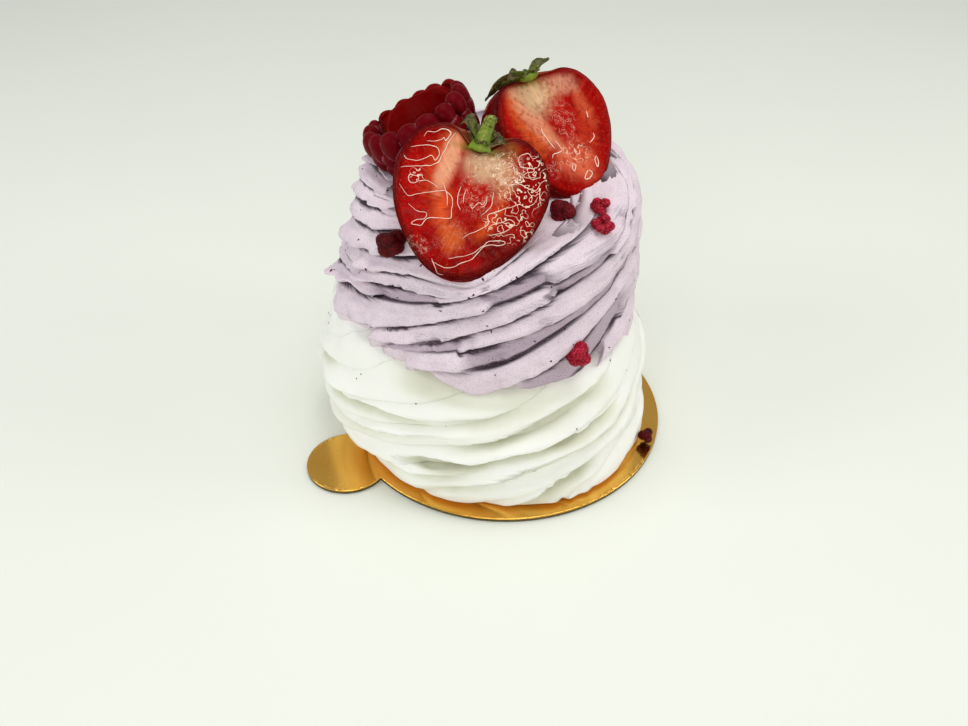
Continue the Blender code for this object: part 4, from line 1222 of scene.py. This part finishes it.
frontCalyx = {
    "name": "calyxFront",
    "node": "calyx_front",
    "seed": 3,
    "seat": 0.1,  # how far the hub's middle stands off the bottom of the dimple
    "aside": 0.0,  # how far it lies to the berry's right
    "hub": (1.7, 0.7),  # radius across, and height
    # each sepal: direction in degrees (0 to the berry's right, 90 away from its cut face), reach, rise,
    # half width, how far its tip curls back down, how brown it is, and its turn on its own midrib
    "sepals": ((-6, 3.9, 2.4, 1.7, 0.6, 0.9, 62), (40, 3.0, 4.2, 1.7, 0.6, 0.6, 25),
               (95, 2.6, 4.0, 2.0, 0.6, 0.7, 0), (140, 3.2, 4.6, 1.8, 1.2, 0.8, -25),
               (178, 3.4, 5.4, 1.8, 1.6, 0.5, -60), (262, 1.0, 1.0, 1.3, 0.2, 0.1, 0)),
    "stalk": (1.35, 6.9, 9),  # radius, length, and lean to the berry's right in degrees
}

rearCalyx = {
    "name": "calyxRear",
    "node": "calyx_rear",
    "seed": 8,
    "seat": -0.4,
    "aside": -2.2,
    "hub": (2.3, 1.0),
    "sepals": ((-6, 3.9, 2.1, 1.4, -0.3, 0.5, 50), (40, 2.0, 1.5, 1.7, 0.2, 0.3, 20),
               (88, 3.0, 1.0, 1.9, 0.8, 0.6, 0), (150, 8.8, 0.8, 2.3, 1.5, 0.8, 0),
               (188, 3.6, 1.2, 1.7, 0.8, 0.9, -50), (300, 1.2, 0.4, 1.2, 0.6, 0.1, 0)),
    "stalk": (1.0, 0.8, 0),
}


def calyxPiece(calyx, berry, leaf):
    # a low hub, a stalk, and sepals: each a thin lens carried along a midrib that rises and curls back
    length, along, outward, right = berryAxes(berry)
    seat = (np.array(berry["tip"]) + along * (length * (1 - berry["dimple"]) + calyx["seat"])
            + right * calyx["aside"])
    grids, tints, heights = [], [], []
    v = np.linspace(0.0, 1.0, 34)[:, None]
    around = np.linspace(0.0, turn, 32, endpoint=False)[None]
    hubRadius, hubHeight = calyx["hub"]
    for number, (degrees, reach, rise, half, curlDown, brownness, roll) in enumerate(calyx["sepals"]):
        angle = math.radians(degrees)
        out = right * math.cos(angle) - outward * math.sin(angle)
        rolled = math.radians(roll) * smoothStep(0.0, 0.5, v)
        side = (np.cross(along, out) * np.cos(rolled)[..., None] + along * np.sin(rolled)[..., None])
        up = (along * np.cos(rolled)[..., None] - np.cross(along, out) * np.sin(rolled)[..., None])
        distance = 0.3 + (hubRadius + reach - 0.3) * v ** 1.15
        lift = rise * np.sin(v ** 1.1 * math.pi * 0.62) - curlDown * v ** 4
        width = half * (np.sin(v ** 0.7 * math.pi) ** 0.6 * 0.8 + 0.5 * (1 - v)) * (1 - v ** 7)
        across = np.cos(around)
        spot = stacked(v * 5, across * 1.4, number * 3.0 + calyx["seed"])
        crinkle = 0.35 * noise(spot, 1.0, 61) + 0.16 * noise(spot, 0.4, 62)
        curl = 0.5 * width * np.abs(across) ** 2
        rib = 0.14 * np.exp(-(across / 0.16) ** 2) * (1 - v)
        thick = 0.3 * (0.35 + 0.65 * np.sqrt(1 - across ** 2)) * np.sign(np.sin(around)) / 2
        thick = np.where(np.abs(np.sin(around)) < 1e-6, 0.0, thick) * (1 - v ** 4)
        twist = 0.3 * math.sin(2.1 * number + calyx["seed"]) * v * width * across
        edge = 1 + 0.12 * noise(spot, 0.5, 63)
        points = (seat + distance[..., None] * out + (width * across * edge)[..., None] * side
                  + lift[..., None] * along + (curl + rib + crinkle * v + thick + twist)[..., None] * up)
        points[-1] = np.mean(points[-1], axis=0)
        points[0] = np.mean(points[0], axis=0)
        grids.append((points, True))
        green = mixed((0.13, 0.21, 0.01), (0.08, 0.10, 0.015), smoothStep(0.1, 0.6, v + 0 * across))
        brown = smoothStep(0.15, 0.7, v + 0.3 * np.abs(across) + 0.5 * crinkle) * brownness
        tint = mixed(green, (0.075, 0.042, 0.016), brown)
        hem = smoothStep(0.955, 1.0, np.abs(across)) * smoothStep(0.3, 0.5, v)
        tints.append(mixed(tint, (0.62, 0.48, 0.30), hem * smoothStep(-0.1, 0.3, crinkle) * 0.8))
        heights.append(np.broadcast_to(v, brown.shape))
    turns = np.linspace(0.0, turn, 28, endpoint=False)[None]
    slant = np.linspace(0.0, math.pi, 14)[:, None]
    hubGrid = (seat + (hubRadius * np.sin(slant) * np.cos(turns))[..., None] * right
               + (0.75 * hubRadius * np.sin(slant) * np.sin(turns))[..., None] * outward
               + (hubHeight * -np.cos(slant) + 0 * turns)[..., None] * along)
    stalkRadius, stalkLength, stalkLean = calyx["stalk"]
    levels = np.array((-0.06, -0.06, 0.04, 0.16, 0.3, 0.5, 0.7, 0.88, 0.98, 1.02, 1.02))[:, None]
    widths = np.array((0.0, 1.7, 1.6, 1.4, 1.2, 1.0, 0.92, 0.98, 0.85, 0.45, 0.0))[:, None]
    ridged = 1 + 0.08 * np.sin(5 * turns + 3 * levels)
    lean = math.tan(math.radians(stalkLean)) * np.maximum(levels, 0) ** 1.5 * stalkLength
    stalk = (seat + (lean + stalkRadius * widths * ridged * np.cos(turns))[..., None] * right
             + (0.7 * stalkRadius * widths * ridged * np.sin(turns))[..., None] * outward
             + (levels * stalkLength + 0 * turns)[..., None] * along)
    for grid, low, high in ((hubGrid, (0.16, 0.26, 0.01), (0.16, 0.26, 0.01)),
                            (stalk, (0.15, 0.27, 0.01), (0.14, 0.10, 0.03))):
        grids.append((grid, True))
        share = np.linspace(0, 1, len(grid))[:, None] ** 2 + 0 * turns
        spot = stacked(6 * np.cos(turns), 6 * np.sin(turns), 2.5 * share)
        streaks = smoothStep(0.0, 0.6, noise(spot, 1.0, 66))
        tints.append(mixed(mixed(low, high, share), (0.36, 0.40, 0.06), 0.6 * streaks))
        heights.append(share)
    piece = addPiece(calyx["name"], grids, leaf, masks={"reach": heights},
                     colours={"green": tints})
    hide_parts(calyx["node"])


def leafFinish():
    # the stored greens and browns, mottled pale, and darker away from the hub
    material, tree, shader = startMaterial("berryLeaf", Roughness=0.45, Coat_Weight=0.1, Coat_Roughness=0.15,
                                           Specular_IOR_Level=0.2)
    base = attribute(tree, "green", "Color")
    mottle = objectNoise(tree, 0.9, 3.0, 0.6)
    base = blendColours(tree, rangeOf(tree, mottle, 0.5, 0.7, 0.0, 0.5), base, (0.36, 0.34, 0.10))
    dark = multiplied(tree, rangeOf(tree, objectNoise(tree, 0.6, 3.0, 0.65), 0.48, 0.6, 0.0, 0.9),
                      rangeOf(tree, attribute(tree, "reach"), 0.05, 0.4))
    base = blendColours(tree, dark, base, (0.022, 0.026, 0.004))
    wire(tree, shader, base, [(mottle, 0.12, 0.5), (objectNoise(tree, 0.3), 0.05, 0.5)])
    return material


raspberry = {
    "rim": (-21.6, 11.6, 78.6),
    "opens": (-0.45, 0.065, 0.887),
    "length": 20.0,
    "radius": 13.0,
    # rows of drupelets: place along the section from the tip, how many, half length, height
    "rows": ((1.2, 4, 2.6, 1.5), (5.0, 8, 2.7, 1.7), (9.0, 12, 2.8, 1.8), (13.0, 14, 2.9, 1.9),
             (17.0, 16, 3.0, 1.9), (20.6, 17, 3.1, 1.9), (25.2, 16, 4.8, 2.1)),
    # along the section: how far the last row reaches at the back, and how much more in front
    "crest": (27.6, 4.6),
    "rimHighlightFrom": 28.5,
    "insideFrom": (25.0, 26.5),  # at the back the hollow's colour starts between these
    "section": ((0.0, 0.0), (0.02, 0.2), (0.08, 0.42), (0.18, 0.63), (0.31, 0.79), (0.46, 0.9),
                (0.62, 0.97), (0.78, 1.0), (0.9, 0.975), (0.965, 0.92), (0.985, 0.85), (0.96, 0.78),
                (0.88, 0.725), (0.78, 0.69), (0.66, 0.63), (0.52, 0.55), (0.42, 0.44), (0.36, 0.26),
                (0.35, 0.0)),
    "sunk": 1.6,  # the cup under the drupelets is this much smaller
}


def raspberryFrame():
    # the tip, the way the cup opens, and two directions square to that
    opens = unit(raspberry["opens"])
    sideways = unit(np.cross(opens, (0.0, 1.0, 0.0)))
    tip = np.array(raspberry["rim"]) - opens * raspberry["length"]
    return tip, opens, sideways, np.cross(opens, sideways)


def raspberryGrid():
    # a cup pushed out by the highest drupelet: height * sqrt(1 - (along / half)^2 - (round / half)^2)
    tip, opens, sideways, across = raspberryFrame()
    section = smoothPath([(distance * raspberry["length"], share * raspberry["radius"])
                          for distance, share in raspberry["section"]], 200)
    arc = np.concatenate(([0.0], np.cumsum(np.hypot(*np.diff(section, axis=0).T))))[:, None]
    spins = np.linspace(0, turn, 400, endpoint=False)
    step = np.gradient(section, axis=0)
    lean = unit(stacked(-step[:, 1], step[:, 0]))  # along the axis, then outwards
    normals = stacked(lean[:, 1:] * np.cos(spins), lean[:, 1:] * np.sin(spins), lean[:, :1])
    front = smoothStep(-0.9, -0.1, np.sin(spins))[None]
    crest = raspberry["crest"][0] + raspberry["crest"][1] * front
    firstRise = np.full((len(section), len(spins)), 0.15)
    nextRise = firstRise.copy()
    rimHighlight = np.zeros(firstRise.shape)
    rng = np.random.default_rng(7)
    lastRow = len(raspberry["rows"]) - 1
    for row, (place, count, half, high) in enumerate(raspberry["rows"]):
        girth = np.interp(place, arc[:, 0], section[:, 1])
        halfRound = math.pi * girth / count * 1.16
        for number in range(count):
            spin = turn * (number + 0.5 * (row % 2) + 0.1 * rng.standard_normal()) / count
            shift = 0.4 * rng.standard_normal()
            grown = rng.uniform(0.9, 1.12)
            roundTo = girth * np.angle(np.exp(1j * (spins - spin)))[None]
            beyond = crest - place - shift if row == lastRow else half * grown
            reach = np.where(arc > place + shift, beyond, half * grown)
            inside = 1 - ((arc - place - shift) / reach) ** 2 - (roundTo / (halfRound * grown)) ** 2
            steep = 0.42 + 0.5 * (1 - front) * smoothStep(0.0, 2.0, arc - place)
            dome = high * grown * np.maximum(inside, 0) ** steep
            # painted highlight: a band on each front dome's inner end, along the near rim
            ends = smoothStep(0.3, 0.45, dome / high) * smoothStep(0.75, 0.6, dome / high)
            rimHighlight = np.maximum(rimHighlight, ends * front * (arc > raspberry["rimHighlightFrom"]))
            nextRise = np.maximum(nextRise, np.minimum(dome, firstRise))
            firstRise = np.maximum(firstRise, dome)
    hollow = smoothStep(-0.5, 1.2, arc - crest)
    local = stacked(section[:, 1:] * np.cos(spins), section[:, 1:] * np.sin(spins), section[:, :1])
    ribs = 0.3 * noise(local, 3.0, 71)
    rise = mixed(firstRise - raspberry["sunk"], ribs, hollow) + 0.05 * noise(local, 0.8, 72)
    local = local + normals * (rise * smoothStep(0.0, 1.5, section[:, 1])[:, None])[..., None]
    middle = np.mean(local, axis=1, keepdims=True)
    local = middle + (local - middle) * smoothStep(0.0, 0.6, section[:, 1])[:, None, None]
    grid = (tip + local[..., 0, None] * sideways + local[..., 1, None] * across
            + local[..., 2, None] * opens)
    # painted highlight: pale lines where two drupelets meet and along the near rim
    seam = smoothStep(0.3, 0.0, firstRise - nextRise) * (firstRise > 0.5)
    seam = np.maximum(seam, 0.8 * rimHighlight) * (1 - hollow)
    inner = np.maximum(hollow, (1 - front) * smoothStep(*raspberry["insideFrom"], arc))
    return grid, np.clip(firstRise / 1.9, 0, 1), inner, seam * (1 - inner)


def raspberryFinish():
    # painted shade nearly black between the drupelets and dark red on them, painted highlight in pale seams,
    # and a dull bloom
    material, tree, shader = startMaterial("raspberryFlesh", Roughness=0.42, Subsurface_Weight=0.08,
                                           Subsurface_Scale=1.2 * mm, Specular_IOR_Level=0.04,
                                           Sheen_Weight=0.02, Sheen_Roughness=0.3,
                                           Subsurface_Radius=(1.0, 0.1, 0.1),
                                           Sheen_Tint=(0.9, 0.25, 0.3, 1.0))
    dome = attribute(tree, "dome")
    # painted shade: the lower a point lies between the domes, the nearer black
    outer = ramp(tree, dome, ((0.0, (0.014, 0.0, 0.001)), (0.45, (0.075, 0.0, 0.001)),
                              (0.95, (0.125, 0.0, 0.003))))
    base = blendColours(tree, attribute(tree, "inside"), outer, (0.17, 0.0, 0.0))
    # painted highlight: pale pink along the seams
    seam = multiplied(tree, attribute(tree, "seam"), rangeOf(tree, objectNoise(tree, 1.6), 0.42, 0.55))
    base = blendColours(tree, seam, base, (0.34, 0.09, 0.10))
    bloom = rangeOf(tree, objectNoise(tree, 2.5, 3.0), 0.55, 0.75, 0.0, 0.3)
    base = blendColours(tree, bloom, base, (0.17, 0.004, 0.012))
    wire(tree, shader, base, [(objectNoise(tree, 0.7), 0.1, 0.25), (objectNoise(tree, 0.2), 0.03, 0.3)],
         rangeOf(tree, objectNoise(tree, 0.8), 0.3, 0.7, 0.3, 0.5))
    return material


def makeRaspberry(finish):
    # the cup, with masks for its domes, its hollow and its painted seam highlights
    grid, dome, inside, seam = raspberryGrid()
    piece = addPiece("raspberryCup", [(grid, True)], finish,
                     masks={"dome": [dome], "inside": [inside], "seam": [seam]})
    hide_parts("raspberry")


fragments = {
    "sides": (64, 44),
    # node, centre, half length, flatness, lumps, lump size, paleness, seed
    "pieces": (
        ("raspberry_piece_left", (-24.8, -16.6, 60.9), 3.5, 0.8, 6, 0.62, 0.0, 1),
        ("raspberry_piece_right", (11.9, -7.6, 63.4), 3.1, 1.0, 4, 0.62, 0.2, 2),
        ("raspberry_piece_upper", (19.9, -7.8, 64.5), 2.25, 0.85, 7, 0.52, 1.0, 3),
        ("raspberry_piece_lower", (20.2, -12.9, 62.9), 2.6, 0.75, 8, 0.5, 0.85, 4),
        ("raspberry_piece_side", (15.3, -26.3, 38.8), 3.1, 0.95, 9, 0.5, 0.9, 5),
        ("raspberry_piece_on_card", (35.0, -14.1, 3.4), 2.0, 1.0, 5, 0.6, 0.0, 6),
    ),
}


def fragmentGrid(centre, half, flatness, lumps, lumpSize, seed):
    # in each direction, how far the outermost of several overlapping balls reaches
    rows, columns = fragments["sides"]
    slant = np.linspace(0, math.pi, rows)[:, None]
    around = np.linspace(0, turn, columns, endpoint=False)[None]
    ways = stacked(np.sin(slant) * np.cos(around), np.sin(slant) * np.sin(around), np.cos(slant))
    rng = np.random.default_rng(seed)
    golden = np.arange(lumps) + 0.5
    tilt = np.arccos(1 - 2 * golden / lumps)
    spin = golden * 2.4 + rng.uniform(0, turn)
    balls = stacked(np.sin(tilt) * np.cos(spin), np.sin(tilt) * np.sin(spin), np.cos(tilt))
    balls = (balls + 0.15 * rng.standard_normal(balls.shape)) * (1.05 - lumpSize)
    reach = np.full(ways.shape[:2], 0.3)
    for ball in balls:
        size = lumpSize * rng.uniform(0.85, 1.05)
        towards = ways @ ball
        inside = size ** 2 - ball @ ball + towards ** 2
        reach = np.maximum(reach, np.where(inside > 0, towards + np.sqrt(np.maximum(inside, 0)), 0))
    reach = reach + 0.04 * noise(ways * 3 + seed, 0.5, 80) + 0.02 * noise(ways * 3, 0.2, 81)
    dome = np.clip((reach - 0.55) / 0.45, 0, 1)
    points = np.array(centre) + ways * (reach * half)[..., None] * (1.0, 1.0, flatness)
    points[0] = np.mean(points[0], axis=0)
    points[-1] = np.mean(points[-1], axis=0)
    return points, dome


def fragmentFinish():
    # dark red or pink by the piece's paleness, with painted light and shade: brightest on grainy high spots,
    # near black in the crevices; with pale powder
    material, tree, shader = startMaterial("driedRaspberry", Roughness=0.5, Subsurface_Weight=0.1,
                                           Subsurface_Scale=0.4 * mm, Specular_IOR_Level=0.12)
    dome = attribute(tree, "dome")
    pale = attribute(tree, "pale")
    crisp = objectNoise(tree, 0.45, 3.0, 0.7)
    # painted light and shade: high lumps lighter, crevices darker, broken up by grain
    high = multiplied(tree, rangeOf(tree, dome, 0.0, 1.0, 0.35, 1.0), rangeOf(tree, crisp, 0.36, 0.62))
    dark = ramp(tree, high, ((0.0, (0.02, 0.0, 0.0)), (0.5, (0.075, 0.0, 0.001)),
                             (1.0, (0.17, 0.003, 0.006))))
    pink = ramp(tree, high, ((0.0, (0.11, 0.0, 0.003)), (0.5, (0.38, 0.004, 0.02)),
                             (1.0, (0.60, 0.03, 0.075))))
    base = blendColours(tree, pale, dark, pink)
    powder = rangeOf(tree, objectNoise(tree, 0.4, 3.0), 0.62, 0.72, 0.0, 0.9)
    base = blendColours(tree, multiplied(tree, powder, pale), base, (0.72, 0.22, 0.27))
    wire(tree, shader, base, [(crisp, 0.3, 0.7)])
    return material


def makeFragments(finish):
    # one piece for each broken bit, named as its solid is
    for node, centre, half, flatness, lumps, lumpSize, pale, seed in fragments["pieces"]:
        points, dome = fragmentGrid(centre, half, flatness, lumps, lumpSize, seed)
        words = node.split("_")
        name = words[0] + "".join(word.capitalize() for word in words[1:])
        piece = addPiece(name, [(points, True)], finish,
                         masks={"dome": [dome], "pale": [np.full(dome.shape, pale)]})
        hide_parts(node)


specks = {
    # each kind: how many, and between which rows of its surface
    "onCream": (260, 3, 150),
    "onMeringue": (26, 110, 200),
    "redBits": (22, 5, 140),
    # least and most: half length, half width and half height of a speck, and half length of a red bit
    "sizes": ((0.14, 0.5), (0.1, 0.3), (0.05, 0.12)),
    "redSize": (0.25, 0.6),
}


def chosenPlaces(grid, rng, count, firstRow, lastRow):
    # points drawn evenly from a grid's rows and columns, with their outward normals
    normals = surfaceNormals(grid, True)
    outwards = grid - np.mean(grid, axis=1, keepdims=True)
    flip = np.sign(np.sum(normals * outwards, axis=-1, keepdims=True))
    normals = normals * np.where(flip == 0, 1, flip)
    rows = rng.integers(firstRow, lastRow, count)
    columns = rng.integers(0, grid.shape[1], count)
    return grid[rows, columns], normals[rows, columns]


def speckPiece(name, grids, finish, dome, pale):
    # one piece from many small ellipsoids, all with the same height of colour and paleness
    addPiece(name, [(grid, True) for grid in grids], finish,
             masks={"dome": [np.full(grid.shape[:2], dome) for grid in grids],
                    "pale": [np.full(grid.shape[:2], pale) for grid in grids]})


def makeSpecks(creamSurface, meringueSurface, finish):
    # dark specks on the cream and the meringue, then larger red bits on the cream
    rng = np.random.default_rng(19)
    places, normals = chosenPlaces(creamSurface, rng, *specks["onCream"])
    more, moreNormals = chosenPlaces(meringueSurface, rng, *specks["onMeringue"])
    places = np.concatenate((places, more))
    normals = np.concatenate((normals, moreNormals))
    sizes = stacked(*[rng.uniform(least, most, len(places)) for least, most in specks["sizes"]])
    grids = pebbles(places, normals, sizes, rng.uniform(0, turn, len(places)), 4, 6)
    speckPiece("berrySpecks", grids, finish, 0.0, 0.0)
    places, normals = chosenPlaces(creamSurface, rng, *specks["redBits"])
    sizes = rng.uniform(*specks["redSize"], (len(places), 1)) * (1.0, 0.7, 0.5)
    grids = pebbles(places, normals, sizes, rng.uniform(0, turn, len(places)), 6, 8)
    speckPiece("raspberryCrumbs", grids, finish, 0.4, 0.5)


def makeAll():
    # everything in order, from the studio up through the cake
    makeCamera()
    makeStudio()
    print("camera, light and floor done")
    cardPiece(goldFoil(), cardEdge())
    print("card done")
    base, baseShade = meringueGrid()
    piece = addPiece("meringueBase", [(base, True)], bakedMeringue(),
                     masks={"shade": [np.broadcast_to(baseShade, base.shape[:2])]})
    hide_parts("meringue")
    print("meringue done")
    swirl, sunk, back, hidden = creamGrid()
    # the sunk mask is painted groove shade; back marks ridges that lie back, which the finish also paints
    # greyer as shade
    piece = addPiece("creamSwirl", [(swirl, True)], whippedCream(),
                     masks={"sunk": [sunk], "back": [back]})
    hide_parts("cream")
    print("cream done")
    flesh, seedFinish, leaf, glaze = berryFlesh(), berrySeed(), leafFinish(), glazeHighlightFinish()
    makeBerry(frontBerry, flesh, seedFinish, glaze)
    makeBerry(rearBerry, flesh, seedFinish, glaze)
    calyxPiece(frontCalyx, frontBerry, leaf)
    calyxPiece(rearCalyx, rearBerry, leaf)
    print("strawberries done")
    makeRaspberry(raspberryFinish())
    fragment = fragmentFinish()
    makeFragments(fragment)
    print("raspberry done")
    makeSpecks(swirl[hidden:], base[1:], fragment)
    print("specks done")


makeAll()
